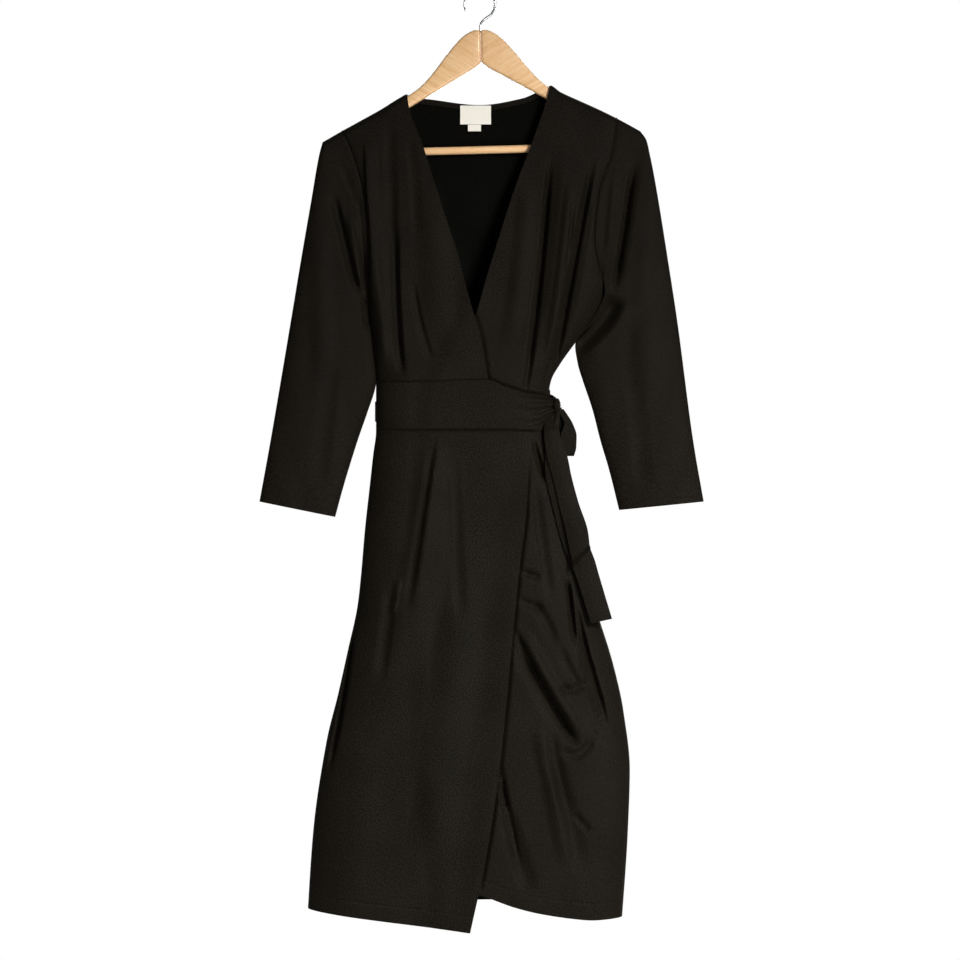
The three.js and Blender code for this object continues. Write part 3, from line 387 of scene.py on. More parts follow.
def patch(top, bottom, left, right):
    """A panel between four edges, each a function that gives x and z."""
    def panel(u, v):
        none, all_ = np.zeros_like(u), np.ones_like(u)
        (tl, tr), (bl, br) = ([np.array(f(k)) for k in (none, all_)] for f in (top, bottom))
        return ((1 - v) * np.array(top(u)) + v * np.array(bottom(u))
                + (1 - u) * np.array(left(v)) + u * np.array(right(v))
                - (1 - v) * ((1 - u) * tl + u * tr) - v * ((1 - u) * bl + u * br))
    return panel


def edge(rows, high, low):
    return lambda v: (read(rows, mix(high, low, v)), mix(high, low, v))


def bodice_side(rows, high, underarm, low):
    """Armhole and side seam, with the underarm on its own place down the edge."""
    def at(v):
        z = np.where(v < UNDERARM_AT, mix(high, underarm, v / UNDERARM_AT),
                     mix(underarm, low, (v - UNDERARM_AT) / (1 - UNDERARM_AT)))
        return read(rows, z), z
    return at


def closer_at_ends(t, k):
    """Steps that are finer near 0 and 1, where seams and hems are."""
    return t - k * np.sin(2 * np.pi * t) / (2 * np.pi)


def seam_fade(v):
    return ease(v / SEAM_FADE) * ease((1 - v) / SEAM_FADE)


def sewn(distance, deep=1.1):
    """How far a sewn edge is drawn in, by its distance from the seam in millimetres."""
    return deep * np.exp(-(distance / SEWN_WIDE) ** 2)


def cloth(name, point, columns, rows, flip=False, thick=JERSEY, fine=(0.75, 0.75)):
    """A thin shell on a grid whose vertices go to point(u, v), in millimetres."""
    deselect()
    bpy.ops.mesh.primitive_grid_add(x_subdivisions=columns, y_subdivisions=rows, size=1)
    piece = bpy.context.object
    piece.name = name
    mesh = piece.data
    flat = np.empty(len(mesh.vertices) * 3)
    mesh.vertices.foreach_get("co", flat)
    u, v = flat[0::3] + 0.5, 0.5 - flat[1::3]
    placed = np.stack(point(closer_at_ends(u, fine[0]), closer_at_ends(v, fine[1])), axis=1) * MM
    mesh.vertices.foreach_set("co", placed.ravel())
    # The flat cut, in metres, so that the knit keeps its size and follows the cloth
    order = np.lexsort((np.round(u, 6), np.round(v, 6)))
    wide = len(np.unique(np.round(u, 6)))
    lattice = placed[order].reshape(-1, wide, 3)
    across = np.zeros(lattice.shape[:2])
    across[:, 1:] = np.cumsum(np.linalg.norm(np.diff(lattice, axis=1), axis=2), axis=1)
    across -= across[:, wide // 2][:, None]
    down = np.zeros(lattice.shape[:2])
    down[1:] = np.cumsum(np.linalg.norm(np.diff(lattice, axis=0), axis=2), axis=0)
    cut = np.empty((len(u), 2))
    cut[order] = np.stack([across.ravel(), -down.ravel()], axis=1)
    corners = np.empty(len(mesh.loops), int)
    mesh.loops.foreach_get("vertex_index", corners)
    mesh.uv_layers.active.data.foreach_set("uv", cut[corners].ravel())
    edit(lambda: bpy.ops.mesh.remove_doubles(threshold=5e-6))
    if flip:
        edit(lambda: bpy.ops.mesh.flip_normals())
    for material in jersey:
        mesh.materials.append(material)
    # The inner shell takes the reverse, whose darker colour is painted shade
    modify(piece, "SOLIDIFY", thickness=thick * MM, offset=-1, material_offset=1,
           use_quality_normals=True)
    bpy.ops.object.shade_smooth_by_angle(angle=math.radians(55))
    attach(piece, "root")
    return piece


# Viscose and elastane single jersey, dyed black: near black with a soft warm sheen off the
# fibre ends. Its face shows upright chains of stitches, drawn 1.9 mm wide where the real
# ones are 0.6 mm, so that they show at all; the reverse lies in cross rows, with less gloss
# and sheen, and its colour is painted darker than the face as painted shade for the inside.
def knit(name, light, dark, wale, course, gloss, sheen):
    material, shader = finish(name, Roughness=0.66, Specular_IOR_Level=gloss,
                              Sheen_Weight=sheen, Sheen_Roughness=0.45)
    shader.inputs["Sheen Tint"].default_value = colour("dcc8a4")
    cut = add(material, "ShaderNodeTexCoord", {}).outputs["UV"]
    axes = add(material, "ShaderNodeSeparateXYZ", {"Vector": cut})
    maths = "ShaderNodeMath"
    across = add(material, maths, {0: axes.outputs["X"], 1: 1 / (wale * MM)}, operation="MULTIPLY")
    down = add(material, maths, {0: axes.outputs["Y"], 1: 1 / (course * MM)}, operation="MULTIPLY")
    leg = add(material, maths, {0: across.outputs[0], 1: 0.5}, operation="PINGPONG")
    slant = add(material, maths, {0: down.outputs[0], 1: leg.outputs[0]}, operation="ADD")
    turn = add(material, maths, {0: slant.outputs[0], 1: 2 * math.pi}, operation="MULTIPLY")
    rung = add(material, maths, {0: turn.outputs[0]}, operation="SINE")
    height = add(material, maths, {0: rung.outputs[0], 1: 0.25, 2: leg.outputs[0]},
                 operation="MULTIPLY_ADD")
    fuzz = add(material, "ShaderNodeTexNoise", {
        "Vector": cut, "Scale": 560.0, "Detail": 3, "Roughness": 0.7}, noise_dimensions="2D")
    cloudy = add(material, "ShaderNodeTexNoise", {
        "Vector": cut, "Scale": 14.0, "Detail": 3}, noise_dimensions="2D")
    tone = add(material, maths, {0: cloudy.outputs["Fac"], 1: 0.12, 2: fuzz.outputs["Fac"]},
               operation="MULTIPLY_ADD")
    shade = ramp(material, tone.outputs[0], [(0.42, colour(dark)), (0.72, colour(light))])
    bump = add(material, "ShaderNodeBump", {
        "Height": height.outputs[0], "Strength": 0.35, "Distance": 0.0003})
    hairs = add(material, "ShaderNodeBump", {
        "Height": fuzz.outputs["Fac"], "Strength": 0.3, "Distance": 0.0004,
        "Normal": bump.outputs["Normal"]})
    material.node_tree.links.new(shade, shader.inputs["Base Color"])
    material.node_tree.links.new(hairs.outputs["Normal"], shader.inputs["Normal"])
    return material


# The reverse's colours, 0b0b08 and 040403, are painted shade: the inside of the dress is darkened
# in its colour
jersey = (knit("black viscose jersey, face", "1c1812", "030302", 1.9, 1.6, 0.04, 0.017),
          knit("black viscose jersey, reverse in painted shade", "0b0b08", "040403", 2.4, 1.3, 0.013, 0.002))


def back_waist(u):
    return mix(WAISTBAND_TOP, BACK_WAIST_RIGHT, u)


back_left, back_right = LEFT_EDGE[0][1], RIGHT_EDGE[0][1]
back_panel = patch(
    lambda u: (mix(back_left, back_right, u), shoulder(mix(back_left, back_right, u))),
    lambda u: (mix(WAIST_LEFT, WAIST_RIGHT, u), back_waist(u) + SEAM_GAP),
    bodice_side(LEFT_EDGE, shoulder(back_left), LEFT_UNDERARM, WAISTBAND_TOP + SEAM_GAP),
    bodice_side(RIGHT_EDGE, shoulder(back_right), RIGHT_UNDERARM, BACK_WAIST_RIGHT + SEAM_GAP))


def back_point(u, v):
    x, z = back_panel(u, v)
    fold = (folds(BODICE_BACK_FOLDS, x, z) + ripple(x, z)) * seam_fade(v) * off_seam(x, z)
    drawn_in = sewn(z - back_waist(u)) * off_seam(x, z)
    return x, body_depth(x, z, BACK) - fold - drawn_in, z


bodice_back = cloth("bodice_back_cloth", back_point, 130, 120, flip=True)
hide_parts("bodice_back")


# What is sewn inside the back neck: a narrow bound edge of the same jersey, a woven satin
# label and a small tab under it, both left bare.
TRIM = 0.8
BINDING_HIGH, BINDING_LEFT, BINDING_RIGHT = 6.5, -84, 82
LABEL = (-25, 15, -149.5, -174)  # left, right, top and bottom
TAB = (-15, 2, -174.4, -183)
TRIM_IN = 2.8  # the CAD's wall, gap and trim in front of the back's outer face
LABEL_IN = 4.1


def inside_back(name, left, right, top, bottom, inward, columns, rows):
    def point(u, v):
        x = mix(left, right, u)
        z = mix(top(x), bottom(x), v)
        return x, body_depth(x, z, BACK) - inward, z
    return cloth(name, point, columns, rows, thick=TRIM, fine=(0.3, 0.3))


# Woven satin label: polyester, off-white, with a slight gloss across the fine floats.
satin, shader = finish("woven satin label", Roughness=0.5, Sheen_Weight=0.2)
cut = add(satin, "ShaderNodeTexCoord", {}).outputs["UV"]
floats = add(satin, "ShaderNodeTexWave", {
    "Vector": cut, "Scale": 420.0, "Distortion": 0.6}, bands_direction="Y")
satin_tone = ramp(satin, floats.outputs["Fac"], [(0.0, colour("ddd7c9")), (1.0, colour("efebe1"))])
satin_bump = add(satin, "ShaderNodeBump", {
    "Height": floats.outputs["Fac"], "Strength": 0.25, "Distance": 0.0001})
satin.node_tree.links.new(satin_tone, shader.inputs["Base Color"])
satin.node_tree.links.new(satin_bump.outputs["Normal"], shader.inputs["Normal"])

binding = inside_back("back_neck_binding_cloth", BINDING_LEFT, BINDING_RIGHT,
                      lambda x: shoulder(x) - 1, lambda x: shoulder(x) - 1 - BINDING_HIGH,
                      TRIM_IN, 90, 8)
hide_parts("back_neck_binding")
for name, box in (("neck_label", LABEL), ("size_tab", TAB)):
    left, right, top, bottom = box
    tag = inside_back(f"{name}_ribbon", left, right, lambda x: 0 * x + box[2],
                      lambda x: 0 * x + box[3], LABEL_IN, 24, 16)
    tag.data.materials.clear()
    tag.data.materials.append(satin)
    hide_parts(name)


# Fronts of the bodice: the left one wraps over the right one and makes the V. Each is
# gathered a little at the shoulder and falls in soft folds to the waist seam.
UPPER_NECKLINE = [
    (-135.5, -94), (-153, -91.5), (-200, -74.3), (-256, -56.8), (-313, -38.5), (-345, -28),
    (-385, -18), (-420, -8), (-452, 1.5), (-508, 11)]
LOWER_NECKLINE = [
    (-124, 92), (-146, 86.5), (-200, 68), (-259, 45.8), (-323, 25.3), (-372, 10), (-421, -4),
    (-470, -26), (-535, -52), (-573, -55)]
LOWER_SKIRT_EDGE = [(-573, -55), (-800, -62), (-1000, -58), (-1165, -34)]
UPPER_SKIRT_EDGE = [
    (-573, 66), (-690, 59), (-741, 52.5), (-845, 42), (-1001, 26.5), (-1131, 7), (-1220, -12)]
OVERLAP_STEP, STEP_FROM, STEP_WIDE = 3, 34, 30  # how high, and from where to the hidden edge
COVER_FADE = 9  # the lower front's own folds start this far past the edge over it
DIP_BEFORE, DIP_IN, DIP_OUT, BODICE_DIP = 16, 12, 5, 3.5
LOWER_WAIST_SEAM = -538  # hidden under the upper waistband
# Top and bottom of the upper waistband, and how far in front it stands, by x
WRAP_END = [
    (-134.5, -511, -573, 33), (-60, -510, -573, 33), (11, -508, -573, 33), (32, -516, -573, 33),
    (60, -524.5, -572.5, 32), (74, -526.8, -570, 28.5), (85, -528.6, -562.5, 23.5),
    (93, -530.5, -556, 19), (104, -533.5, -548, 15)]
UPPER_BODICE_FOLDS = [
    ((-113, -240), (-115, -390), (-101, -506), 20, 9, 5),
    ((-108, -300), (-108, -420), (-98, -514), 11, 5.5, 7),
    ((-140, -330), (-126, -400), (-124, -500), 12, 12, -4),
    ((-85, -380), (-78, -440), (-60, -482), 9, 4, 4),
    ((-60, -240), (-62, -330), (-48, -470), 26, 26, -3),
    ((-149, -190), (-143, -290), (-141, -460), 3, 18, -6),
    ((-116, -170), (-118, -230), (-112, -300), 10, 12, 2.5),
    ((-92, -190), (-84, -250), (-82, -330), 7, 12, 2)]
LOWER_BODICE_FOLDS = [
    ((93, -205), (85, -330), (66, -450), 5, 19, 6),
    ((91, -215), (83, -370), (56, -542), 6, 6, 11),
    ((148, -215), (120, -365), (93, -512), 7, 7, 12),
    ((144, -250), (121, -380), (97, -496), 5, 14, 4),
    ((119, -240), (107, -370), (86, -500), 9, 8, -4),
    ((62, -240), (58, -360), (36, -470), 16, 16, -3),
    ((119, -280), (118, -325), (113, -364), 2.5, 5, 2),
    ((102, -430), (96, -470), (84, -512), 5, 5, 4)]


def overlap_step(x, z):
    """How far the upper front stands off, where the lower front lies under it."""
    under = np.where(z > WAISTBAND_BOTTOM, read(LOWER_NECKLINE, z), read(LOWER_SKIRT_EDGE, z))
    return OVERLAP_STEP * ease((x - under + STEP_FROM) / STEP_WIDE)


def dip(past, deep):
    """How far cloth is set in along an edge that lies over it, by how far past that edge."""
    return deep * ease((past + DIP_BEFORE) / DIP_IN) * (1 - ease(past / DIP_OUT))


def upper_front(x, z, rows, fade):
    fold = (folds(rows, x, z) + ripple(x, z)) * fade * off_seam(x, z)
    return -body_depth(x, z, FRONT) - overlap_step(x, z) + fold


def lower_front(x, z, rows, hidden, fade, deep):
    """The lower front takes the upper one's folds where it lies under it."""
    over = np.where(z > WAISTBAND_BOTTOM, read(UPPER_NECKLINE, z), read(UPPER_SKIRT_EDGE, z))
    cover = 1 - ease((x - over) / COVER_FADE)
    fold = folds(rows, x, z) * (1 - cover) + folds(hidden, x, z) * cover + ripple(x, z)
    return -body_depth(x, z, FRONT) + (fold + dip(x - over, deep)) * fade * off_seam(x, z)


upper_end = UPPER_NECKLINE[-1]
upper_bodice = patch(
    lambda u: (mix(back_left, NECK_LEFT, u), shoulder(mix(back_left, NECK_LEFT, u))),
    lambda u: (mix(WAIST_LEFT, upper_end[1], u),
               read(WRAP_END, mix(WAIST_LEFT, upper_end[1], u)) - 0.8),
    bodice_side(LEFT_EDGE, shoulder(back_left), LEFT_UNDERARM, WAISTBAND_TOP + SEAM_GAP),
    edge(UPPER_NECKLINE, shoulder(NECK_LEFT), upper_end[0] + SEAM_GAP))


def upper_bodice_point(u, v):
    x, z = upper_bodice(u, v)
    drawn_in = sewn(z - read(WRAP_END, x), 1.8) * off_seam(x, z)
    return x, upper_front(x, z, UPPER_BODICE_FOLDS, seam_fade(v)) + drawn_in, z


bodice_upper = cloth("bodice_front_upper_cloth", upper_bodice_point, 150, 150)
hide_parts("bodice_front_upper")

lower_bodice = patch(
    lambda u: (mix(NECK_RIGHT, back_right, u), shoulder(mix(NECK_RIGHT, back_right, u))),
    lambda u: (mix(read(LOWER_NECKLINE, LOWER_WAIST_SEAM), read(RIGHT_EDGE, LOWER_WAIST_SEAM), u),
               LOWER_WAIST_SEAM + 0 * u),
    edge(LOWER_NECKLINE, shoulder(NECK_RIGHT), LOWER_WAIST_SEAM),
    bodice_side(RIGHT_EDGE, shoulder(back_right), RIGHT_UNDERARM, LOWER_WAIST_SEAM))


def lower_bodice_point(u, v):
    x, z = lower_bodice(u, v)
    y = lower_front(x, z, LOWER_BODICE_FOLDS, UPPER_BODICE_FOLDS, seam_fade(v), BODICE_DIP)
    past_crossing = ease((x - 6) / 12)
    return x, y + dip(z - read(WRAP_END, x), BODICE_DIP) * past_crossing, z


bodice_lower = cloth("bodice_front_lower_cloth", lower_bodice_point, 180, 170)
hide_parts("bodice_front_lower")


# Sleeves: each is cut in one piece, set into its armhole over the point of the shoulder and
# sewn closed along the underarm, and ends below the elbow in a turned hem.
LEFT_SLEEVE_OUTER = [
    (-198, -204), (-214, -208.3), (-273, -218.5), (-351, -232), (-429, -245), (-585, -271.5),
    (-665, -286)]
LEFT_SLEEVE_UNDER = [
    (-410, -143.5), (-440, -140.5), (-471, -137.5), (-507, -133.9), (-518, -135.5),
    (-546, -144.5), (-585, -158), (-643, -176), (-685, -187.5)]
RIGHT_SLEEVE_OUTER = [
    (-183.5, 209), (-195, 217), (-214, 221.5), (-234, 225.6), (-273, 232.5), (-351, 245),
    (-429, 257), (-585, 277.7), (-665, 291.5)]
RIGHT_SLEEVE_UNDER = [
    (-393, 165.5), (-412, 164.5), (-440, 143), (-463, 124.5), (-487, 128), (-507, 134),
    (-546, 147), (-585, 157), (-624, 168.5), (-676, 181.5)]
# Half the sleeve's depth and how square its section is, by the way down it
SLEEVE_DEPTH = [(0, 15, 4), (0.25, 17, 3.4), (0.6, 17, 2.6), (1, 15, 2.4)]
LEFT_SLEEVE_FOLDS = [
    ((-179, -226), (-166, -262), (-147, -305), 5, 9, 4),
    ((-190, -262), (-174, -330), (-154, -404), 10, 6, 8),
    ((-155, -240), (-150, -320), (-147, -400), 7, 5, 8),
    ((-212, -300), (-200, -400), (-204, -520), 20, 20, -3),
    ((-170, -290), (-160, -340), (-152, -396), 8, 8, -5),
    ((-150, -398), (-147, -415), (-144, -446), 7, 5, 7),
    ((-190, -470), (-196, -560), (-212, -660), 18, 14, 2.5)]
RIGHT_SLEEVE_FOLDS = [
    ((201, -212), (189, -310), (172, -398), 6, 13, 5),
    ((200, -222), (188, -320), (173, -396), 4, 6.5, 10),
    ((176, -225), (172, -280), (166, -350), 8, 8, -4),
    ((179, -396), (164, -441), (118, -472), 22, 13, 17),
    ((194, -400), (184, -446), (128, -484), 8, 24, -5),
    ((222, -300), (208, -400), (214, -520), 20, 20, -3),
    ((196, -480), (204, -570), (214, -660), 14, 18, 2.5)]
TIP_AT, SLEEVE_LONG = 0.05, 470
BACK_FOLDS, FRONT_MOST, BACK_MOST = 0.5, 1.45, 0.2  # folds at the back, and the most of the depth
AT_SEAM, BELOW_SEAM = -0.6, -1  # the sleeve laps over the sewn edge


def sleeve(name, armhole, outer, under, rows, side):
    start, tip = armhole[0], outer[0]
    top = (start[1], float(shoulder(start[1])))

    def point(u, t):
        s = (1 - np.cos(2 * np.pi * u)) / 2
        fall = mix(tip[0], outer[-1][0], (t - TIP_AT) / (1 - TIP_AT))
        near = mix(start[1], tip[1], t / TIP_AT)
        outer_x = np.where(t <= TIP_AT, near, read(outer, fall))
        outer_z = np.where(t <= TIP_AT, shoulder(near), fall)
        under_z = mix(under[0][0], under[-1][0], t)
        seam_z = mix(top[1], under[0][0], s)
        seam_x = read(armhole, seam_z)
        bow = 1 - ease(t / 0.3)
        x = mix(outer_x, read(under, under_z), s) + bow * (seam_x - mix(top[0], under[0][1], s))
        z = mix(outer_z, under_z, s) + bow * (seam_z - mix(top[1], under[0][0], s))
        clear = mix(AT_SEAM, BELOW_SEAM, ease(t / 0.05))
        x = side * np.maximum(side * x, side * read(armhole, z) + clear)
        square = read(SLEEVE_DEPTH, t, 2)
        full = read(SLEEVE_DEPTH, t) * (1 - np.abs(1 - 2 * s) ** square) ** (1 / square)
        front = u < 0.5
        seam_depth = np.where(front, body_depth(seam_x, seam_z, FRONT),
                              body_depth(seam_x, seam_z, BACK))
        fold = (folds(rows, x, z) + ripple(x, z)) * ease(t / 0.08) * np.where(front, 1, BACK_FOLDS)
        depth = mix(seam_depth, full, ease(t / 0.25))
        fold = np.minimum(fold, depth * np.where(front, FRONT_MOST, BACK_MOST))
        depth = depth - fold * ease(np.minimum(s, 1 - s) / 0.02)
        depth = depth - sewn(t * SLEEVE_LONG, 1.6)
        depth = np.where((s < 1e-6) | (s > 1 - 1e-6), 0, depth)
        return x, np.where(front, -depth, depth), z
    return cloth(name, point, 150, 190, flip=side > 0, fine=(0, 0.5))


for side, armhole, outer, under, rows in (
        ("left", LEFT_EDGE, LEFT_SLEEVE_OUTER, LEFT_SLEEVE_UNDER, LEFT_SLEEVE_FOLDS),
        ("right", RIGHT_EDGE, RIGHT_SLEEVE_OUTER, RIGHT_SLEEVE_UNDER, RIGHT_SLEEVE_FOLDS)):
    piece = sleeve(f"sleeve_{side}_cloth", armhole, outer, under, rows,
                   -1 if side == "left" else 1)
    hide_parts(f"sleeve_{side}")


# Waistband: three lengths of doubled jersey. The upper one runs on past the crossing of the
# fronts, narrows in soft pleats and goes into the knot as the first tie.
PLEATS, PLEAT_DEPTH = 3, 2.2
BAND_HIGH, BACK_BAND_HIGH, LOWER_BAND_IN = 62, 60, 13


def waist_upper_point(u, v):
    x = mix(WRAP_END[0][0], WRAP_END[-1][0], u)
    z = mix(read(WRAP_END, x), read(WRAP_END, x, 2), v)
    on_body = body_depth(x, z, FRONT) + overlap_step(x, z)
    free = ease((x - 35) / 30)
    depth = mix(on_body, read(WRAP_END, x, 3), free)
    pleat = PLEAT_DEPTH * np.cos(2 * np.pi * PLEATS * v) * ease((x - 42) / 40)
    drawn_in = (sewn((1 - v) * BAND_HIGH, 3) + sewn(v * BAND_HIGH, 0.6)) * (1 - free)
    return x, -depth - pleat + drawn_in + 0.5 * ripple(x, z) * (1 - free), z


def waist_lower_point(u, v):
    x = mix(WAIST_LEFT + LOWER_BAND_IN, WAIST_RIGHT, u)
    z = mix(LOWER_WAIST_SEAM - SEAM_GAP, WAISTBAND_BOTTOM, v)
    return x, -body_depth(x, z, FRONT) + OVERLAP_STEP - overlap_step(x, z), z


def waist_back_point(u, v):
    x = mix(WAIST_LEFT, WAIST_RIGHT, u)
    z = mix(back_waist(u), WAISTBAND_BOTTOM, v)
    drawn_in = (sewn((1 - v) * BACK_BAND_HIGH, 1.2) + sewn(v * BACK_BAND_HIGH)) * off_seam(x, z)
    return x, body_depth(x, z, BACK) - drawn_in, z


for name, point, size, flip, flat in (
        ("waistband_upper", waist_upper_point, (130, 48), False, (0.27, 0.062)),
        ("waistband_lower", waist_lower_point, (90, 20), False, (0.235, 0.036)),
        ("waistband_back", waist_back_point, (100, 30), True, (0.25, 0.062))):
    piece = cloth(f"{name}_cloth", point, *size, flip=flip)
    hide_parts(name)


# Skirt: two fronts and a back of the same jersey. The left front wraps over with a slanting
# free edge; the right one swings out under it in deep slanting swags from the tie.
UPPER_HEM = [(-224, -1193), (-100, -1209), (-12, -1220)]
LOWER_HEM = [
    (-34, -1165), (0, -1172), (46, -1188), (79, -1196), (118, -1202), (150, -1205),
    (186, -1203.5)]
BACK_HEM = [(-224, -1193), (26, -1186), (186, -1203.5)]
EDGE_LIFT, EDGE_DIP = 4, 6  # the free edge stands forward, and the cloth under it dips
UPPER_SKIRT_FOLDS = [
    ((-50, -590), (-58, -720), (-112, -900), 34, 38, -6),
    ((-51, -566), (-66, -680), (-86, -812), 4, 16, -4),
    ((-57, -580), (-74, -690), (-95, -815), 9, 5, 3),
    ((-102, -762), (-106, -790), (-113, -812), 9, 4, -4),
    ((-112, -770), (-116, -830), (-128, -900), 14, 8, 4),
    ((-162, -822), (-171, -905), (-197, -1022), 5, 6, 10),
    ((-20, -760), (-34, -960), (-70, -1150), 34, 34, -5),
    ((-36, -600), (-34, -700), (-24, -830), 9, 14, 3)]
LOWER_SKIRT_FOLDS = [
    ((67, -578), (73, -604), (86, -642), 5, 6, 9),
    ((42, -752), (60, -756), (84, -764), 8, 5.5, 6.5),
    ((46, -790), (66, -797), (84, -803), 8, 5.5, 5),
    ((66, -794), (88, -812), (98, -852), 10, 9, 4),
    ((34, -808), (80, -906), (131, -985), 22, 5.5, 7),
    ((54, -852), (88, -918), (130, -984), 10, 6, 9),
    ((54, -830), (90, -904), (140, -976), 7, 13, -7),
    ((104, -850), (112, -884), (132, -906), 8, 9, 4),
    ((104, -902), (122, -913), (144, -893), 10, 6, 6),
    ((104, -982), (128, -1006), (148, -966), 10, 8, 6),
    ((122, -790), (143, -880), (168, -966), 16, 5, 7),
    ((127, -820), (146, -880), (165, -945), 6, 4, 5),
    ((88, -950), (96, -1010), (112, -1070), 8, 14, 4),
    ((76, -948), (96, -1030), (116, -1145), 16, 14, -6),
    ((84, -975), (112, -1040), (132, -1150), 14, 18, 4),
    ((22, -980), (34, -1050), (56, -1150), 12, 5, 6),
    ((24, -992), (27, -1030), (38, -1070), 10, 4, 6),
    ((120, -1068), (130, -1078), (142, -1092), 4, 9, 5),
    ((34, -1060), (48, -1110), (66, -1175), 16, 16, 5),
    ((70, -640), (76, -700), (92, -800), 8, 12, 4),
    ((113, -762), (119, -806), (123, -852), 5, 5, 12)]
SKIRT_BACK_FOLDS = [
    ((-70, -590), (-92, -800), (-120, -1130), 34, 34, 8),
    ((10, -600), (20, -850), (4, -1150), 40, 40, -7),
    ((50, -620), (86, -860), (110, -1140), 30, 30, 8),
    ((-20, -640), (-34, -820), (-50, -1150), 16, 22, 3.5),
    ((100, -700), (130, -900), (150, -1150), 14, 18, 4)]
HEM_DEEP, HEM_THICK, HEM_STITCH = 20, 0.35, 0.5  # the turned hem, what it adds, its stitch line
WAIST_SEAM = 0.9  # the skirt starts this far above the waistband's lower edge


def skirt(name, edges, hem, depth_at, columns, rows, flip):
    top = WAISTBAND_BOTTOM + WAIST_SEAM
    lows = (hem[0][1], hem[-1][1])
    waist = [float(read(side, top)) for side in edges]
    ends = [float(read(side, low)) for side, low in zip(edges, lows)]
    panel = patch(
        lambda u: (mix(*waist, u), top + 0 * u),
        lambda u: (mix(*ends, u), read(hem, mix(hem[0][0], hem[-1][0], u))),
        edge(edges[0], top, lows[0]), edge(edges[1], top, lows[1]))

    def point(u, v):
        x, z = panel(u, v)
        to_hem = (1 - v) * (top - lows[0])
        out = -HEM_THICK * ease((HEM_DEEP - to_hem) / 2) + sewn(top - z, 3.4)
        out += HEM_STITCH * np.exp(-((to_hem - HEM_DEEP) / 1.5) ** 2)
        out *= off_seam(x, z)
        return x, depth_at(x, z, v) + (-out if flip else out), z
    return cloth(name, point, columns, rows, flip=flip)


def upper_skirt(x, z, v):
    near_edge = ease((x - read(UPPER_SKIRT_EDGE, z) + 34) / 34)
    lift = EDGE_LIFT * near_edge * ease((v - 0.1) / 0.4)
    return upper_front(x, z, UPPER_SKIRT_FOLDS, ease(v / SEAM_FADE)) - lift


def lower_skirt(x, z, v):
    deep = EDGE_DIP * ease((v - 0.02) / 0.2) * ease((1 - v) / SEAM_FADE)
    return lower_front(x, z, LOWER_SKIRT_FOLDS, UPPER_SKIRT_FOLDS, ease(v / SEAM_FADE), deep)


def back_skirt(x, z, v):
    fold = folds(SKIRT_BACK_FOLDS, x, z) + ripple(x, z)
    return body_depth(x, z, BACK) - fold * ease(v / SEAM_FADE) * off_seam(x, z)


for name, edges, hem, depth_at, size, flip, flat, area in (
        ("skirt_front_upper", (LEFT_EDGE, UPPER_SKIRT_EDGE), UPPER_HEM, upper_skirt,
         (170, 290), False, (0.24, 0.65), 0.145),
        ("skirt_front_lower", (LOWER_SKIRT_EDGE, RIGHT_EDGE), LOWER_HEM, lower_skirt,
         (170, 290), False, (0.28, 0.63), 0.14),
        ("skirt_back", (LEFT_EDGE, RIGHT_EDGE), BACK_HEM, back_skirt,
         (130, 230), True, (0.44, 0.63), 0.235)):
    piece = skirt(f"{name}_cloth", edges, hem, depth_at, *size, flip)
    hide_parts(name)


# Tie: a doubled band that comes out of a slit in the left side seam, runs round the back
# and is knotted to the end of the waistband. One bow loop and two tails hang from the knot.
TIE = 1.6
SHORT_TAIL = [
    (-543, 97, 107, 13), (-553, 90, 104.5, 15.5), (-564, 84.5, 103, 20),
    (-575, 83.5, 103.5, 27), (-606, 87, 113.5, 31.5), (-631, 94, 118.5, 33.5),
    (-665, 102.5, 127.5, 36.5), (-704, 114, 140, 39.5), (-726, 121, 142.5, 41)]
LONG_TAIL = [
    (-549.9, 99, 104.5, 17.5), (-575, 91, 103, 23.5), (-606, 84.5, 109, 27.5),
    (-631, 85.5, 111, 29.5), (-665, 93, 119, 31.5), (-723, 108.5, 142, 32.5),
    (-741, 116, 149, 33), (-757, 123.5, 153.5, 34), (-816, 143.5, 171, 37)]
LOOP = [
    (-545, 103, 109), (-556, 103, 116.5), (-565, 103, 121.5), (-580, 104.5, 126),
    (-595, 109, 125.5), (-606, 114, 122.5)]
LOOP_MIDDLE, LOOP_TOP_HALF, LOOP_HALF = 9, 3.5, 5
STRAIGHT = 0.35  # share of the loop that is straight on each side of the round
HOLLOW_DEEP, HOLLOW_AT, HOLLOW_HIGH = 7, -564, 11  # its left edge curves away from the tails
SHORT_SLANT, LONG_SLANT, SHORT_CURL = 25, 6, 5
BELLY, CURL_FROM = 1.5, 0.965
SASH = [  # way along, x, y, z and height
    (0, -136, 5.6, -548, 26), (0.03, -132.4, 10.6, -548, 27), (0.06, -127.4, 13.7, -548, 27),
    (0.13, -108.6, 19.6, -547, 27), (0.25, -84, 21.4, -546, 27), (0.7, 40, 21.4, -543, 27),
    (0.8, 64.7, 19.6, -542, 26), (0.875, 83.8, 13.7, -541, 24), (0.905, 89.8, 10.8, -539, 28),
    (0.945, 95, 1, -538.5, 24), (0.975, 96.8, -5, -538, 20), (1, 99.3, -10.8, -538, 16)]


def tail_point(rows, slant, curl):
    """A tail between its rows, cut at a slant, with an end that curls forward a little."""
    def point(u, v):
        z = mix(rows[0][0], rows[-1][0], v)
        x = mix(read(rows, z), read(rows, z, 2), u)
        forward = BELLY * np.sin(np.pi * u) + curl * ease((v - CURL_FROM) / (1 - CURL_FROM))
        return x, -read(rows, z, 3) - forward, z - slant * (1 - u) * v ** 6
    return point


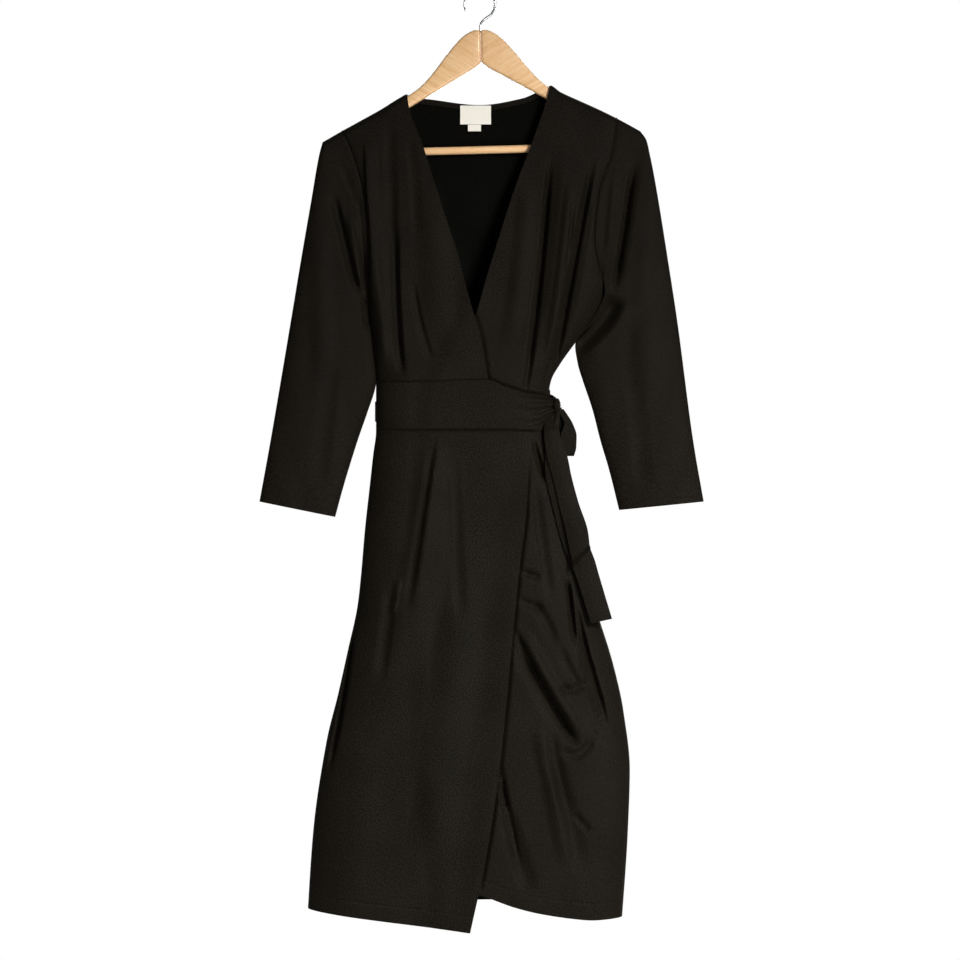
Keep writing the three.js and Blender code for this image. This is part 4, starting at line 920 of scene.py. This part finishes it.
def loop_point(u, v):
    turn = np.pi * np.clip((v - STRAIGHT) / (1 - 2 * STRAIGHT), 0, 1)
    fall = np.clip(np.minimum(v, 1 - v) / STRAIGHT, 0, 1)
    half = mix(LOOP_TOP_HALF, LOOP_HALF, ease(fall))
    z = mix(LOOP[0][0], LOOP[-1][0] + LOOP_HALF, fall) - LOOP_HALF * np.sin(turn)
    hollow = HOLLOW_DEEP * np.exp(-((z - HOLLOW_AT) / HOLLOW_HIGH) ** 2) * (1 + np.cos(turn)) / 2
    x = mix(read(LOOP, z) + hollow, read(LOOP, z, 2), u)
    return x, -LOOP_MIDDLE - half * np.cos(turn), z


def sash_point(u, v):
    x, y, z, high = (read(SASH, u, k) for k in (1, 2, 3, 4))
    return x, y, z + (0.5 - v) * high


for name, point, size, flip in (
        ("tie_tail_short", tail_point(SHORT_TAIL, SHORT_SLANT, SHORT_CURL), (30, 170), False),
        ("tie_tail_long", tail_point(LONG_TAIL, LONG_SLANT, 0), (30, 110), False),
        ("tie_loop", loop_point, (20, 70), False),
        ("tie_sash", sash_point, (140, 24), True)):
    cloth(f"{name}_cloth", point, *size, flip=flip, thick=TIE, fine=(0.3, 0))
    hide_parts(name)

KNOT_AT, KNOT_SIZE = (100, -14.5, -541), (5.5, 9, 10.5)
deselect()
bpy.ops.mesh.primitive_uv_sphere_add(segments=64, ring_count=40, radius=1)
knot = bpy.context.object
knot.name = "tie_knot_cloth"
for vertex in knot.data.vertices:
    x, y, z = vertex.co
    groove = 0.05 * math.sin(9 * z + 3 * x) + 0.03 * math.sin(14 * x - 5 * z)
    vertex.co = [(at + size * c * (1 - abs(groove))) * MM
                 for at, size, c in zip(KNOT_AT, KNOT_SIZE, (x, y, z))]
bpy.ops.object.shade_smooth()
knot.data.materials.append(jersey[0])
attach(knot, "root")
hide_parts("tie_knot")


# Studio: a pale floor below the dress, an even white surround and three soft lights, of which
# the key stands in front on the right and above, as in the photograph.
FLOOR_Z, FLOOR_RADIUS, SURROUND_LIGHT = -1.45, 1.25, 0.19
deselect()
bpy.ops.mesh.primitive_circle_add(vertices=96, radius=FLOOR_RADIUS, fill_type="NGON",
                                  location=(0, 0, FLOOR_Z))
floor = bpy.context.object
floor.name = "studio_floor"
bpy.ops.object.transform_apply(location=True, rotation=True, scale=True)
paint, shader = finish("matt white paint", Roughness=0.9, Base_Color=colour("f2f1ee"))
floor.data.materials.append(paint)

for name, location, size, power, spread, aim_z in (
        ("key", (1.5, -2.55, 0.35), 0.8, 9.6, 44, -1.0),
        ("low_fill", (0.9, -2.3, -1.3), 1.2, 25, 180, -0.62),
        ("back_fill", (0.4, 3.0, 0.3), 2.6, 130, 180, -0.62)):
    lamp = bpy.data.lights.new(name, "AREA")
    lamp.shape, lamp.size, lamp.energy = "DISK", size, power
    lamp.spread = math.radians(spread)
    light = bpy.data.objects.new(name, lamp)
    bpy.context.scene.collection.objects.link(light)
    light.location = location
    aim = np.array((0, 0, aim_z)) - np.array(location)
    light.rotation_euler = (math.acos(aim[2] / np.linalg.norm(aim)) + math.pi,
                            0, math.atan2(aim[1], aim[0]) + math.pi / 2)
world = bpy.data.worlds.new("white surround")
world.use_nodes = True
# The surround is seen as white, and lights the cloth as a dimmer one
nodes, links = world.node_tree.nodes, world.node_tree.links
nodes["Background"].inputs["Color"].default_value = (1, 1, 1, 1)
seen = nodes.new("ShaderNodeLightPath")
level = nodes.new("ShaderNodeMapRange")
level.inputs["To Min"].default_value = SURROUND_LIGHT
links.new(seen.outputs["Is Camera Ray"], level.inputs["Value"])
links.new(level.outputs["Result"], nodes["Background"].inputs["Strength"])
bpy.context.scene.world = world
bpy.context.scene.view_settings.view_transform = "Standard"

# Camera: level and square to the front, so far off that it sees the dress nearly flat.
CAMERA_AWAY, VIEW_WIDE, VIEW_X, VIEW_Z, SENSOR = 4.5, 1.248, 0.0007, -0.637, 36
camera = bpy.data.objects.new("camera", bpy.data.cameras.new("camera"))
bpy.context.scene.collection.objects.link(camera)
camera.location = (VIEW_X, -CAMERA_AWAY, VIEW_Z)
camera.rotation_euler = (math.pi / 2, 0, 0)
camera.data.sensor_width = SENSOR
camera.data.lens = SENSOR * CAMERA_AWAY / VIEW_WIDE
bpy.context.scene.camera = camera
